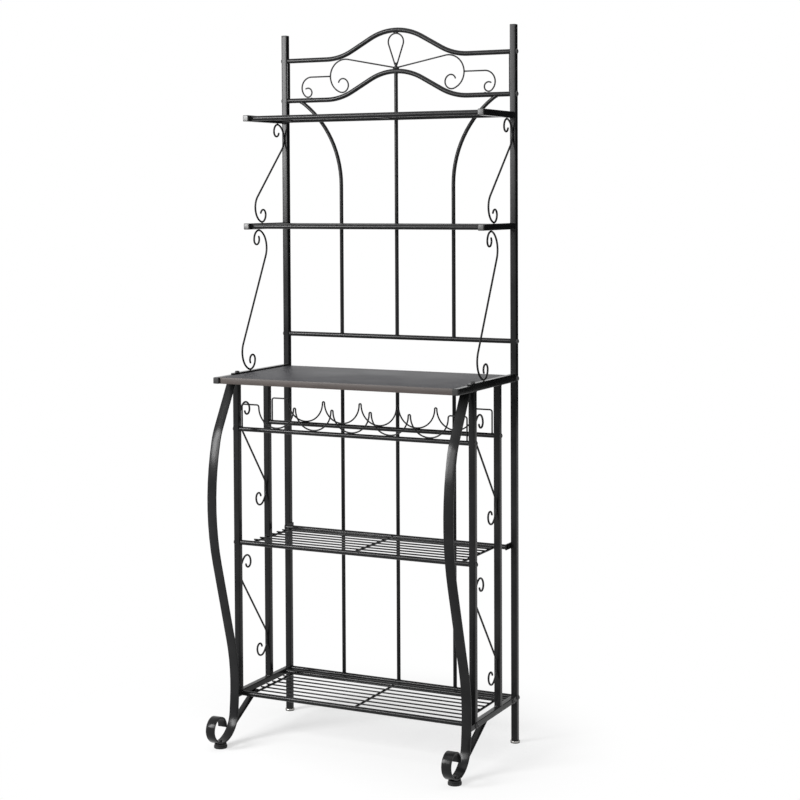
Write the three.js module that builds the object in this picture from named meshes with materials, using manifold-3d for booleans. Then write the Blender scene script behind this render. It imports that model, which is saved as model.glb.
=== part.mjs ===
// Bakers rack: a black tubular-steel etagere with two narrow hutch shelves over a worktop, a wine rack and
// two wire shelves below it, a bell-arched crown with scrollwork, and two flat-bar legs that curl into
// scroll feet. Millimetres, +X to the rack's right, +Y to its back, +Z up. While the pieces are laid out,
// y = 0 is the plane through the middle of the uprights. The finished rack stands on z = 0 with its
// footprint centred on the origin.

import * as THREE from 'three';
import { mergeVertices } from 'three/addons/utils/BufferGeometryUtils.js';
import Module from 'manifold-3d';

const wasm = await Module();
wasm.setup();

// Overall sizes
const rackWidth = 680;
const rackHeight = 1830;
const overrun = 30;
const seat = 0.3;
const weldBite = 0.8;
const mergeDistance = 0.001;

// Stock: square tube, round bar, wire and flat bar
const tubeSize = 16;
const tubeWall = 1.5;
const tubeCorner = 2.4;
const railRadius = 6.35;
const rodRadius = 5;
const wineTubeRadius = 6;
const scrollWireRadius = 2.5;
const fineWireRadius = 2;
const crossRodRadius = 3;
const railSides = 10;
const rodSides = 8;
const wireSides = 6;

// Feet
const glideRadius = 13;
const glideHeight = 6;
const glideLip = 1.5;
const padRadius = 17;
const padHeight = 7;
const padCollarRadius = 15.5;
const padCollarHeight = 5;
const padLip = 1;
const stemRadius = 4;
const stemClearance = 0.5;
const glideStemLength = 24;
const padStemLength = 9;
const nutPlateThickness = 5;
const footSides = 16;

// Crown
const crownUpperHeight = 1764.5;
const crownLowerHeight = 1657.7;
const bellHalfSpan = 205;
const bellRise = 69;
const bellStraight = 63.293;
const endBarThickness = 3;
const endBarWidth = 12.7;

// Crown scrollwork
const weldDiscRadius = 6;
const weldDiscThickness = 5;
const dropInset = 7.2;
const bigInset = 3;
const dropRadius = 22;
const bigScrollInset = 55;
const bigScrollRadius = 44.5;
const bigScrollEndAngle = -69;
const bigCurlRadius = 18.5;
const bigCurlTurn = 180;
const bigTipRadius = 13;
const bigTipTurn = 95;
const smallScrollGap = 40;
const smallScrollRadius = 28.5;
const smallScrollEndAngle = -50;
const smallCurlRadius = 12;
const smallCurlTurn = 250;

// Back rods
const backRodInset = 160.5;
const backRodFlareHeight = 1430;
const backRodFlareRadius = 270;
const hutchRailRise = 86;
const tableBackRailDrop = 9;
const floorBackRailHeight = 117;

// Hutch shelves, by the middle of their side rails
const topShelfHeight = 1604;
const hutchShelfHeight = 1323.6;
const hutchShelfReach = 204;
const hutchRodInset = 14;
const backRodOffset = 30;
const plugHead = 6;
const plugBevel = 2;
const plugDepth = 10;
const plugClearance = 0.4;
const capHead = 3;
const capBevel = 1.5;

// Worktop
const tableTop = 945;
const tableReach = 358;
const boardThickness = 16;
const hutchBarWidth = 12.7;
const hutchBarThickness = 3.5;
const hutchBarReach = 285;

// Side frames
const frontPostOffset = 262;
const middlePostOffset = 109;
const bottomRailHeight = 115.4;

// Wire shelves under the worktop
const middleShelfHeight = 508.7;
const wirePitch = 29;
const crossRodInset = 29;
const wireEndOverhang = 5;
const tabThickness = 3;
const tabHeight = 15;
const tabReach = 37;

// Wine rack
const wineTubeDrop = 142;
const bottleCount = 5;
const hairpinRadius = 3;
const wineCornerRadius = 6;
const wineWireInset = 7;
const wineShoulderLength = 38;

// Scroll wires at the sides, each an S that is the same turned end for end
const upperScroll = { depth: 152.2, bulge: 39, curl: 19, tip: 13, change: 75, curlTurn: 105, tipTurn: 160 };
const lowerScroll = { depth: 127.4, bulge: 48, curl: 24, tip: 13, change: 70, curlTurn: 110, tipTurn: 215 };
const frameScroll = { bulge: 45, curl: 20.5, tip: 12, change: 52, curlTurn: 128, tipTurn: 165 };
const lowerScrollOffset = 170.4;
const frameScrollHeight = 280;
const frameScrollDrop = 201;
const frameScrollRise = 203.6;

// Legs, bent from flat bar, described from the floor up
const legWidth = 25.4;
const legThickness = 4;
const legFootOffset = 363;
const footRearRadius = 66;
const footFrontRadius = 52;
const footCurlRadius = 29;
const footFrontTurn = 55.6;
const footCurlTurn = 218;
const footRearTurn = 84.5;
const ankleLength = 30;
const ankleRadius = 420;
const ankleTurn = 22;
const kneeRadius = 560;
const kneeTurn = 32.5;
const hipRadius = 150;
const hipTurn = 14;
const hipLength = 132.7;
const braceWidth = 19;
const braceThickness = 3;
const braceFootHeight = 38;
const braceHeadOffset = 190;

// Bolts
const boltRadius = 3;
const boltClearance = 0.3;
const domeHeadRadius = 6.5;
const domeHeadHeight = 3.4;
const hexHeadRadius = 5.8;
const hexHeadHeight = 4;
const railBoltGrip = 15;
const hutchBoltGrip = 7;
const hutchBoltOffset = 260;
const boltSides = 8;

// Smoothness of bends, in degrees for each step
const wireStepAngle = 22.5;
const railStepAngle = 10;
const stripStepAngle = 15;
const gentleStepAngle = 5.5;

// Places worked out from the sizes
const sideMiddle = rackWidth / 2 - tubeSize / 2;
const innerFace = rackWidth / 2 - tubeSize;
const uprightFront = -tubeSize / 2;
const uprightFoot = glideHeight + seat;
const bigScrollOffset = bellHalfSpan - bigScrollInset;
const smallScrollOffset = innerFace - endBarThickness - smallScrollGap - smallScrollRadius;
const backRodSpacing = innerFace - backRodInset;
const hutchRailHeight = tableTop + hutchRailRise;
const crossRodOffset = innerFace - crossRodInset;
const wineTubeHeight = tableTop - wineTubeDrop;
const wineWireEnd = innerFace - wineWireInset;
const wineOuterEdge = wineWireEnd - wineShoulderLength - 2 * wineCornerRadius;
const bottlePitch = 2 * (wineOuterEdge + hairpinRadius) / bottleCount;
const tableUnderside = tableTop - tubeSize;
const tableMiddle = tableTop - tubeSize / 2;
const bottomRailTop = bottomRailHeight + tubeSize / 2;
const bottomRailUnderside = bottomRailHeight - tubeSize / 2;
const hutchBarTop = tableTop + hutchBarThickness;
const padTop = padHeight + padCollarHeight;
const legMiddle = rackWidth / 2 - legWidth / 2;

const black = { color: 0x1b1b1d, roughness: 0.42, metalness: 0.35 };
const charcoal = { color: 0x55555a, roughness: 0.5, metalness: 0 };
const plastic = { color: 0x141414, roughness: 0.5, metalness: 0 };
const silver = { color: 0xd8d8d6, roughness: 0.35, metalness: 0.2 };

const radians = THREE.MathUtils.degToRad;
const degrees = THREE.MathUtils.radToDeg;

// Solids are joined and cut as closed meshes, then turned back into geometry for the scene
function solidOf(geometry) {
  const bare = geometry.clone();
  bare.deleteAttribute('normal');
  bare.deleteAttribute('uv');
  const merged = mergeVertices(bare, mergeDistance);
  return new wasm.Manifold(new wasm.Mesh({
    numProp: 3,
    vertProperties: new Float32Array(merged.attributes.position.array),
    triVerts: new Uint32Array(merged.index.array),
  }));
}

function geometryOf(solid) {
  const mesh = solid.getMesh();
  const geometry = new THREE.BufferGeometry();
  geometry.setAttribute('position', new THREE.BufferAttribute(new Float32Array(mesh.vertProperties), 3));
  geometry.setIndex(new THREE.BufferAttribute(new Uint32Array(mesh.triVerts), 1));
  geometry.computeVertexNormals();
  return geometry;
}

function join(solids) {
  return solids.reduce((whole, solid) => whole.add(solid));
}

function cut(solid, tools) {
  return tools.reduce((rest, tool) => rest.subtract(tool), solid);
}

function block(low, high) {
  const size = new THREE.Vector3().subVectors(high, low);
  const middle = new THREE.Vector3().addVectors(low, high).divideScalar(2);
  return solidOf(new THREE.BoxGeometry(size.x, size.y, size.z).translate(middle.x, middle.y, middle.z));
}

function placeAlong(start, heading, length) {
  const angle = radians(heading);
  return new THREE.Vector2(Math.cos(angle), Math.sin(angle)).multiplyScalar(length).add(start);
}

// A line bent in its own plane: straight runs and arcs, each starting where the last one ended.
// The heading is in degrees from the plane's first axis, and a positive turn is anticlockwise.
class BentLine {
  constructor(start, heading) {
    this.points = [start.clone()];
    this.heading = heading;
  }

  get end() {
    return this.points[this.points.length - 1];
  }

  straight(length) {
    this.points.push(placeAlong(this.end, this.heading, length));
    return this;
  }

  arc(radius, turn, step) {
    const from = this.heading - 90 * Math.sign(turn);
    const middle = placeAlong(this.end, from, -radius);
    const steps = Math.ceil(Math.abs(turn) / step);
    for (let i = 1; i <= steps; i += 1) {
      this.points.push(placeAlong(middle, from + turn * i / steps, radius));
    }
    this.heading += turn;
    return this;
  }
}

// The route of a wire through its own points, one ring of the section at each
class Route extends THREE.Curve {
  constructor(points) {
    super();
    this.points = points;
  }

  getUtoTmapping(u) {
    return u;
  }

  getPoint(t, target = new THREE.Vector3()) {
    const place = t * (this.points.length - 1);
    const i = Math.min(Math.floor(place), this.points.length - 2);
    return target.lerpVectors(this.points[i], this.points[i + 1], place - i);
  }
}

// The section is turned a little so that no corner or flat of two joined wires lies in the plane they share
const turnShare = 0.27;

function roundSection(radius, sides) {
  const corners = [];
  for (let i = 0; i < sides; i += 1) {
    const angle = 2 * Math.PI * (i + turnShare) / sides;
    corners.push(new THREE.Vector2(Math.cos(angle), Math.sin(angle)).multiplyScalar(radius));
  }
  return new THREE.Shape(corners);
}

function bar(points, radius, sides) {
  return solidOf(new THREE.ExtrudeGeometry(roundSection(radius, sides), {
    steps: points.length - 1,
    bevelEnabled: false,
    extrudePath: new Route(points),
  }));
}

const acrossPlane = (y, side = 1) => (point) => new THREE.Vector3(side * point.x, y, point.y);
const sidePlane = (x = 0) => (point) => new THREE.Vector3(x, point.x, point.y);

function rodAlongX(half, y, z, radius, sides) {
  return bar([new THREE.Vector3(-half, y, z), new THREE.Vector3(half, y, z)], radius, sides);
}

function rodAlongY(x, from, to, z, radius, sides) {
  return bar([new THREE.Vector3(x, from, z), new THREE.Vector3(x, to, z)], radius, sides);
}

function rodAlongZ(x, y, from, to, radius, sides) {
  return bar([new THREE.Vector3(x, y, from), new THREE.Vector3(x, y, to)], radius, sides);
}

// Square tube, open at both ends, along its own z
function roundedSquare(size, corner) {
  const half = size / 2;
  const flat = half - corner;
  const shape = new THREE.Shape();
  shape.moveTo(-flat, -half);
  shape.lineTo(flat, -half);
  shape.absarc(flat, -flat, corner, -Math.PI / 2, 0, false);
  shape.absarc(flat, flat, corner, 0, Math.PI / 2, false);
  shape.absarc(-flat, flat, corner, Math.PI / 2, Math.PI, false);
  shape.absarc(-flat, -flat, corner, Math.PI, Math.PI * 1.5, false);
  return shape;
}

function squareTube(length) {
  const section = roundedSquare(tubeSize, tubeCorner);
  const inside = tubeSize / 2 - tubeWall;
  section.holes.push(new THREE.Path([
    new THREE.Vector2(-inside, -inside),
    new THREE.Vector2(-inside, inside),
    new THREE.Vector2(inside, inside),
    new THREE.Vector2(inside, -inside),
  ]));
  return new THREE.ExtrudeGeometry(section, { depth: length, bevelEnabled: false, curveSegments: 2 });
}

function tubeAlongZ(x, y, from, to) {
  return solidOf(squareTube(to - from).translate(x, y, from));
}

function tubeAlongY(x, from, to, z) {
  return solidOf(squareTube(to - from).rotateX(-Math.PI / 2).translate(x, from, z));
}

// A flat bar laid through points in the side plane, as wide as asked along x
function strip(points, thickness, width) {
  const last = points.length - 1;
  const sides = [1, -1].map((side) => points.map((point, i) => {
    const along = new THREE.Vector2().subVectors(points[Math.min(i + 1, last)], points[Math.max(i - 1, 0)]);
    const normal = new THREE.Vector2(-along.y, along.x).normalize();
    return normal.multiplyScalar(side * thickness / 2).add(point);
  }));
  const outline = new THREE.Shape([...sides[1], ...sides[0].reverse()]);
  const geometry = new THREE.ExtrudeGeometry(outline, { depth: width, bevelEnabled: false });
  const toSidePlane = new THREE.Matrix4().makeBasis(
    new THREE.Vector3(0, 1, 0),
    new THREE.Vector3(0, 0, 1),
    new THREE.Vector3(1, 0, 0),
  );
  return solidOf(geometry.applyMatrix4(toSidePlane).translate(-width / 2, 0, 0));
}

// A plug for the end of a square tube: a spigot inside it and a bevelled head outside, rounded as the tube is
function plugGeometry(head, bevel) {
  const spigot = tubeSize / 2 - tubeWall - plugClearance;
  const face = solidOf(new THREE.ExtrudeGeometry(roundedSquare(tubeSize, tubeCorner), {
    depth: head - bevel,
    bevelThickness: bevel,
    bevelSize: bevel,
    bevelOffset: -bevel,
    bevelSegments: 1,
    curveSegments: 2,
  }));
  const below = block(
    new THREE.Vector3(-tubeSize, -tubeSize, -overrun),
    new THREE.Vector3(tubeSize, tubeSize, 0),
  );
  return geometryOf(join([
    cut(face, [below]),
    block(new THREE.Vector3(-spigot, -spigot, -plugDepth), new THREE.Vector3(spigot, spigot, head / 2)),
  ]));
}

const rack = new THREE.Group();

function place(name, geometry, finish, group = rack) {
  const mesh = new THREE.Mesh(geometry, new THREE.MeshStandardMaterial(finish));
  mesh.name = name;
  group.add(mesh);
  return mesh;
}

const sideNames = new Map([[-1, 'left'], [1, 'right']]);

// Screw-in feet: rear glides under the uprights, front pads under the scroll feet
function turnedFoot(profile) {
  const points = profile.map(([r, z]) => new THREE.Vector2(r, z));
  return new THREE.LatheGeometry(points, footSides).rotateX(Math.PI / 2);
}

function glideGeometry() {
  return turnedFoot([
    [0, 0],
    [glideRadius - glideLip, 0],
    [glideRadius, glideLip],
    [glideRadius, glideHeight - glideLip],
    [glideRadius - glideLip, glideHeight],
    [stemRadius, glideHeight],
    [stemRadius, glideHeight + glideStemLength],
    [0, glideHeight + glideStemLength],
  ]);
}

function padGeometry() {
  return turnedFoot([
    [0, 0],
    [padRadius - padLip, 0],
    [padRadius, padLip],
    [padRadius, padHeight - padLip],
    [padRadius - padLip, padHeight],
    [padCollarRadius, padHeight],
    [padCollarRadius, padTop],
    [stemRadius, padTop],
    [stemRadius, padTop + padStemLength],
    [0, padTop + padStemLength],
  ]);
}

// Uprights: full-height square tubes with a threaded plate welded into the foot
function uprightSolid() {
  const inside = tubeSize / 2 - tubeWall + weldBite / 2;
  const plate = block(
    new THREE.Vector3(-inside, -inside, uprightFoot),
    new THREE.Vector3(inside, inside, uprightFoot + nutPlateThickness),
  );
  const stemHole = rodAlongZ(0, 0, 0, uprightFoot + overrun, stemRadius + stemClearance, boltSides);
  const boltHole = rodAlongX(overrun, 0, hutchRailHeight, boltRadius + boltClearance, boltSides);
  return cut(join([tubeAlongZ(0, 0, uprightFoot, rackHeight), plate]), [stemHole, boltHole]);
}

// Crown rails: round tube with a bell-shaped arch, level beyond its feet
const bellBendRadius = (bellHalfSpan ** 2 + bellRise ** 2 - bellStraight ** 2) / (4 * bellRise);
const bellTurn = degrees(
  Math.atan2(bellHalfSpan, 2 * bellBendRadius - bellRise) - Math.atan2(bellStraight, 2 * bellBendRadius),
);

function crownRail(height, radius = railRadius) {
  const line = new BentLine(new THREE.Vector2(-innerFace, height), 0);
  line.straight(innerFace - bellHalfSpan);
  line.arc(bellBendRadius, bellTurn, railStepAngle);
  line.straight(bellStraight);
  line.arc(bellBendRadius, -2 * bellTurn, railStepAngle);
  line.straight(bellStraight);
  line.arc(bellBendRadius, bellTurn, railStepAngle);
  line.straight(innerFace - bellHalfSpan);
  return bar(line.points.map(acrossPlane(0)), radius, railSides);
}

// Crown scrollwork, one weldment: a drop loop and, on each side, a large C scroll and a small one. The drop
// and the large scrolls run into a disc of weld metal on top of the lower arch, where they end clear of one
// another.
function crownOrnament() {
  const gap = railRadius + seat + fineWireRadius;
  const weldHeight = crownLowerHeight + bellRise + gap;
  const dropMiddle = crownUpperHeight + bellRise - gap - dropRadius;
  const bigMiddleHeight = crownUpperHeight + bellBendRadius - Math.sqrt(
    (bellBendRadius + gap + bigScrollRadius) ** 2 - (bellHalfSpan - bigScrollOffset) ** 2,
  );
  const weld = new THREE.Vector2(0, weldHeight);
  const disc = new THREE.CylinderGeometry(weldDiscRadius, weldDiscRadius, weldDiscThickness, footSides)
    .translate(0, 0, weldHeight - fineWireRadius + weldDiscRadius);

  const dropDistance = dropMiddle - weldHeight;
  const dropSpread = degrees(Math.asin(dropRadius / dropDistance));
  const dropLeg = Math.sqrt(dropDistance ** 2 - dropRadius ** 2) - dropInset;
  const drop = new BentLine(placeAlong(weld, 90 - dropSpread, dropInset), 90 - dropSpread);
  drop.straight(dropLeg);
  drop.arc(dropRadius, 180 + 2 * dropSpread, wireStepAngle);
  drop.straight(dropLeg);

  const bigMiddle = new THREE.Vector2(bigScrollOffset, bigMiddleHeight);
  const bigDistance = bigMiddle.distanceTo(weld);
  const bigHeading = degrees(
    Math.atan2(bigMiddle.y - weld.y, bigMiddle.x) + Math.asin(bigScrollRadius / bigDistance),
  );
  const big = new BentLine(placeAlong(weld, bigHeading, bigInset), bigHeading);
  big.straight(Math.sqrt(bigDistance ** 2 - bigScrollRadius ** 2) - bigInset);
  big.arc(bigScrollRadius, bigScrollEndAngle - 90 - bigHeading, wireStepAngle);
  big.arc(bigCurlRadius, -bigCurlTurn, wireStepAngle);
  big.arc(bigTipRadius, -bigTipTurn, wireStepAngle);

  const smallDrop = Math.sin(radians(-smallScrollEndAngle)) * (smallScrollRadius - smallCurlRadius);
  const smallMiddleHeight = crownLowerHeight + gap + smallCurlRadius + smallDrop;
  const stubStart = bigScrollOffset + bigScrollRadius;
  const small = new BentLine(new THREE.Vector2(stubStart, smallMiddleHeight + smallScrollRadius), 0);
  small.straight(smallScrollOffset - stubStart);
  small.arc(smallScrollRadius, smallScrollEndAngle - 90, wireStepAngle);
  small.arc(smallCurlRadius, -smallCurlTurn, wireStepAngle);

  const wires = [solidOf(disc), bar(drop.points.map(acrossPlane(0)), fineWireRadius, wireSides)];
  for (const side of sideNames.keys()) {
    for (const line of [big, small]) {
      wires.push(bar(line.points.map(acrossPlane(0, side)), fineWireRadius, wireSides));
    }
  }
  return join(wires);
}

// Back rods over the worktop: a straight one to the arch, and one a side that flares to the rail's flat
function hutchRail(radius = railRadius) {
  return rodAlongX(innerFace, 0, hutchRailHeight, radius, railSides);
}

function centreBackRod() {
  const rod = rodAlongZ(0, 0, hutchRailHeight, crownLowerHeight + bellRise, rodRadius, rodSides);
  return cut(rod, [hutchRail(railRadius + seat), crownRail(crownLowerHeight, railRadius + seat)]);
}

function sideBackRod(side) {
  const flareRise = crownLowerHeight - backRodFlareHeight;
  const flareTurn = degrees(Math.asin(flareRise / backRodFlareRadius));
  const line = new BentLine(new THREE.Vector2(backRodSpacing, hutchRailHeight), 90);
  line.straight(backRodFlareHeight - hutchRailHeight);
  line.arc(backRodFlareRadius, -flareTurn, railStepAngle);
  const rod = bar(line.points.map(acrossPlane(0, side)), rodRadius, rodSides);
  const above = block(
    new THREE.Vector3(-rackWidth, -overrun, crownLowerHeight),
    new THREE.Vector3(rackWidth, overrun, crownLowerHeight + overrun),
  );
  return cut(rod, [hutchRail(railRadius + seat), crownRail(crownLowerHeight, railRadius + seat), above]);
}

// Panel of rods and rails at the back of the lower half
function lowerBackPanel() {
  const top = tableTop - tableBackRailDrop;
  const rails = [top, floorBackRailHeight]
    .map((height) => rodAlongX(innerFace, 0, height, railRadius, railSides));
  const rods = [-backRodSpacing, 0, backRodSpacing]
    .map((x) => rodAlongZ(x, 0, floorBackRailHeight, top, rodRadius, rodSides));
  return join([...rails, ...rods]);
}

// Wire grid between a front and a rear rod: three cross rods with fine wires lying on them
function wireGrid(front, rear, height) {
  const gaps = Math.round((rear - front) / wirePitch);
  const wireHeight = height + crossRodRadius + fineWireRadius - weldBite;
  const pieces = [-crossRodOffset, 0, crossRodOffset]
    .map((x) => rodAlongY(x, front, rear, height, crossRodRadius, wireSides));
  for (let i = 1; i < gaps; i += 1) {
    const y = front + (rear - front) * i / gaps;
    pieces.push(rodAlongX(crossRodOffset + wireEndOverhang, y, wireHeight, fineWireRadius, wireSides));
  }
  return pieces;
}

function hutchShelf(height) {
  const front = -(hutchShelfReach - hutchRodInset);
  const rails = [-sideMiddle, sideMiddle].map((x) => tubeAlongY(x, -hutchShelfReach, uprightFront, height));
  const rods = [front, -backRodOffset]
    .map((y) => rodAlongX(innerFace + weldBite, y, height, railRadius, railSides));
  return join([...rails, ...rods, ...wireGrid(front, -backRodOffset, height)]);
}

function lowerShelf(height) {
  return [
    rodAlongX(innerFace, -frontPostOffset, height, railRadius, railSides),
    ...wireGrid(-frontPostOffset, -backRodOffset, height),
  ];
}

function bottomShelf() {
  const rear = rodAlongX(innerFace, -backRodOffset, bottomRailHeight, railRadius, railSides);
  return join([...lowerShelf(bottomRailHeight), rear]);
}

// The middle shelf's rear rod ends in tabs that lie on the inner faces of the uprights
function middleShelf() {
  const half = innerFace - tabThickness / 2;
  const rear = rodAlongX(half, -backRodOffset, middleShelfHeight, railRadius, railSides);
  const tabs = [-1, 1].map((side) => {
    const ends = [side * innerFace, side * (innerFace - tabThickness)].sort((a, b) => a - b);
    return block(
      new THREE.Vector3(ends[0], -tabReach, middleShelfHeight - tabHeight / 2),
      new THREE.Vector3(ends[1], tubeSize / 2, middleShelfHeight + tabHeight / 2),
    );
  });
  return join([...lowerShelf(middleShelfHeight), rear, ...tabs]);
}

// Wine rack: a tube and, along its top, one wire bent into cradles between narrow hairpins
function wineRack(offset) {
  const cradleRadius = bottlePitch / 2 - hairpinRadius;
  const cradleBottom = wineTubeHeight + wineTubeRadius + fineWireRadius - weldBite;
  const cradleTop = cradleBottom + cradleRadius;
  const line = new BentLine(new THREE.Vector2(-wineWireEnd, wineTubeHeight), 90);
  line.straight(cradleTop - wineTubeHeight);
  line.arc(wineCornerRadius, -90, wireStepAngle * 2);
  line.straight(wineShoulderLength);
  line.arc(wineCornerRadius, -90, wireStepAngle * 2);
  for (let i = 0; i < bottleCount; i += 1) {
    line.arc(cradleRadius, 180, wireStepAngle * 1.5);
    if (i < bottleCount - 1) {
      line.arc(hairpinRadius, -180, wireStepAngle * 3);
    }
  }
  line.arc(wineCornerRadius, -90, wireStepAngle * 2);
  line.straight(wineShoulderLength);
  line.arc(wineCornerRadius, -90, wireStepAngle * 2);
  line.straight(cradleTop - wineTubeHeight);
  return join([
    rodAlongX(innerFace, -offset, wineTubeHeight, wineTubeRadius, railSides),
    bar(line.points.map(acrossPlane(-offset)), fineWireRadius, wireSides),
  ]);
}

// An S of wire that fills the given depth and height. Its top bulges to the rear for hand 1, to the front
// for hand -1.
function scrollWire(sizes, depth, height, hand) {
  const { bulge, curl, tip, change, curlTurn, tipTurn } = sizes;
  const middle = new THREE.Vector2(
    depth / 2 - bulge,
    height / 2 - curl - (bulge - curl) * Math.sin(radians(change)),
  );
  const reach = middle.length();
  const heading = degrees(Math.atan2(middle.y, middle.x) - Math.asin(bulge / reach));
  const half = new BentLine(new THREE.Vector2(0, 0), heading);
  half.straight(Math.sqrt(reach ** 2 - bulge ** 2));
  half.arc(bulge, change + 90 - heading, wireStepAngle);
  half.arc(curl, curlTurn, wireStepAngle);
  half.arc(tip, tipTurn, wireStepAngle);
  const outward = half.points.slice(1);
  const inward = outward.map((point) => point.clone().negate()).reverse();
  const points = [...inward, ...outward].map((point) => new THREE.Vector2(hand * point.x, point.y));
  return geometryOf(bar(points.map(sidePlane()), scrollWireRadius, wireSides));
}

// Leg: one flat bar, curled at the floor, drawn in at the ankle, swelling at the knee, running in to the
// worktop
const legStart = new THREE.Vector2(-legFootOffset, padTop + seat + legThickness / 2);

function legRun(shinLength) {
  const rise = new BentLine(legStart, 0);
  rise.arc(footRearRadius, footRearTurn, stripStepAngle);
  rise.straight(ankleLength);
  rise.arc(ankleRadius, ankleTurn, gentleStepAngle);
  rise.straight(shinLength);
  rise.arc(kneeRadius, -kneeTurn, gentleStepAngle);
  rise.arc(hipRadius, -hipTurn, gentleStepAngle);
  return rise.straight(hipLength);
}

// The shin is as long as it takes the leg to reach the underside of the worktop
function legRise() {
  const missing = tableUnderside + legThickness - legRun(0).end.y;
  return legRun(missing / Math.sin(radians(footRearTurn + ankleTurn)));
}

function legStrip(thickness, width) {
  const toe = new BentLine(legStart, 180);
  toe.arc(footFrontRadius, -footFrontTurn, stripStepAngle);
  toe.arc(footCurlRadius, -footCurlTurn, stripStepAngle);
  return strip([...toe.points.slice(1).reverse(), ...legRise().points], thickness, width);
}

// Where the middle of the leg's bar is at a given height
function legMiddleAt(height) {
  const { points } = legRise();
  const above = points.findIndex((point) => point.y > height);
  const [low, high] = [points[above - 1], points[above]];
  return new THREE.Vector2().lerpVectors(low, high, (height - low.y) / (high.y - low.y));
}

// A flat brace from the back of the leg up to the underside of the bottom rail
function brace() {
  const foot = legMiddleAt(braceFootHeight);
  const along = new THREE.Vector2(-braceHeadOffset, bottomRailUnderside).sub(foot);
  const end = along.clone().setLength(along.length() + braceThickness * 2).add(foot);
  const above = block(
    new THREE.Vector3(-braceWidth, -braceHeadOffset - overrun, bottomRailUnderside),
    new THREE.Vector3(braceWidth, 0, bottomRailTop),
  );
  return cut(strip([foot, end], braceThickness, braceWidth), [above]);
}

function legSolid() {
  const above = block(
    new THREE.Vector3(-legWidth, -tableReach, tableUnderside),
    new THREE.Vector3(legWidth, 0, tableTop),
  );
  const stemHole = rodAlongZ(0, -legFootOffset, 0, padTop + overrun, stemRadius + stemClearance, boltSides);
  return cut(join([legStrip(legThickness, legWidth), brace()]), [above, stemHole]);
}

// Side frame: a bottom rail fitted to the leg's back, with two posts standing on it under the table rail
function bottomRail() {
  const rail = tubeAlongY(0, legMiddleAt(bottomRailHeight).x, uprightFront, bottomRailHeight);
  return cut(rail, [legStrip(legThickness + 2 * seat, rackWidth)]);
}

function post(offset) {
  return tubeAlongZ(0, -offset, bottomRailTop, tableUnderside);
}

function tableRail() {
  const hole = rodAlongZ(
    0, -hutchBoltOffset, tableMiddle, tableTop + overrun, boltRadius + boltClearance, boltSides,
  );
  return cut(tubeAlongY(0, -tableReach, uprightFront, tableMiddle), [hole]);
}

function board() {
  const width = 2 * (innerFace - seat);
  const depth = tableReach + uprightFront;
  return new THREE.BoxGeometry(width, depth, boardThickness)
    .translate(0, uprightFront - depth / 2, tableTop - boardThickness / 2);
}

// Flat bar that the hutch's side scrolls stand on, with a round front end and a bolt through it
function hutchBar() {
  const half = hutchBarWidth / 2;
  const outline = new THREE.Shape();
  outline.moveTo(half, uprightFront);
  outline.lineTo(-half, uprightFront);
  outline.lineTo(-half, half - hutchBarReach);
  outline.absarc(0, half - hutchBarReach, half, Math.PI, 2 * Math.PI, false);
  const holeRadius = boltRadius + boltClearance;
  outline.holes.push(new THREE.Path().absarc(0, -hutchBoltOffset, holeRadius, 0, 2 * Math.PI, true));
  return new THREE.ExtrudeGeometry(outline, {
    depth: hutchBarThickness,
    bevelEnabled: false,
    curveSegments: 6,
  }).translate(0, 0, tableTop);
}

// Bolts, head up along z with the head's seat at z = 0
function domeBolt(grip) {
  const dome = new THREE.Vector2(0, domeHeadHeight);
  const shoulder = new THREE.Vector2(domeHeadRadius * Math.SQRT1_2, domeHeadHeight * 3 / 4);
  return new THREE.LatheGeometry([
    new THREE.Vector2(0, -grip),
    new THREE.Vector2(boltRadius, -grip),
    new THREE.Vector2(boltRadius, 0),
    new THREE.Vector2(domeHeadRadius, 0),
    new THREE.Vector2(domeHeadRadius, domeHeadHeight / 4),
    shoulder,
    dome,
  ], boltSides).rotateX(Math.PI / 2);
}

function hexBolt(grip) {
  const head = new THREE.CylinderGeometry(hexHeadRadius, hexHeadRadius, hexHeadHeight, 6);
  head.rotateX(Math.PI / 2).translate(0, 0, hexHeadHeight / 2);
  const shank = rodAlongZ(0, 0, -grip, hexHeadHeight / 2, boltRadius, boltSides);
  return geometryOf(join([solidOf(head), shank]));
}

function boltedHutchRail() {
  const ends = [innerFace - railBoltGrip - boltClearance, innerFace + overrun];
  const holes = [-1, 1].map((side) => {
    const points = ends.map((x) => new THREE.Vector3(side * x, 0, hutchRailHeight));
    return bar(points, boltRadius + boltClearance, boltSides);
  });
  return cut(hutchRail(), holes);
}

// Back of the rack, from the crown down
place('crown_rail_upper', geometryOf(crownRail(crownUpperHeight)), black);
place('crown_rail_lower', geometryOf(crownRail(crownLowerHeight)), black);
place('crown_ornament', geometryOf(crownOrnament()), black);
place('back_rod_middle', geometryOf(centreBackRod()), black);
place('hutch_rail', geometryOf(boltedHutchRail()), black);
place('lower_back_panel', geometryOf(lowerBackPanel()), black);

// Shelves, worktop and wine rack, which span the sides
place('top_shelf', geometryOf(hutchShelf(topShelfHeight)), black);
place('hutch_shelf', geometryOf(hutchShelf(hutchShelfHeight)), black);
place('worktop_board', board(), charcoal);
place('wine_rack_front', geometryOf(wineRack(frontPostOffset)), black);
place('wine_rack_rear', geometryOf(wineRack(middlePostOffset)), black);
place('middle_shelf', geometryOf(middleShelf()), black);
place('bottom_shelf', geometryOf(bottomShelf()), black);

// Crown end bars, between the crown rails against the inner faces of the uprights
const endBarLow = crownLowerHeight + railRadius + seat;
const endBarHigh = crownUpperHeight - railRadius - seat;
const endBar = new THREE.BoxGeometry(endBarThickness, endBarWidth, endBarHigh - endBarLow);

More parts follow.
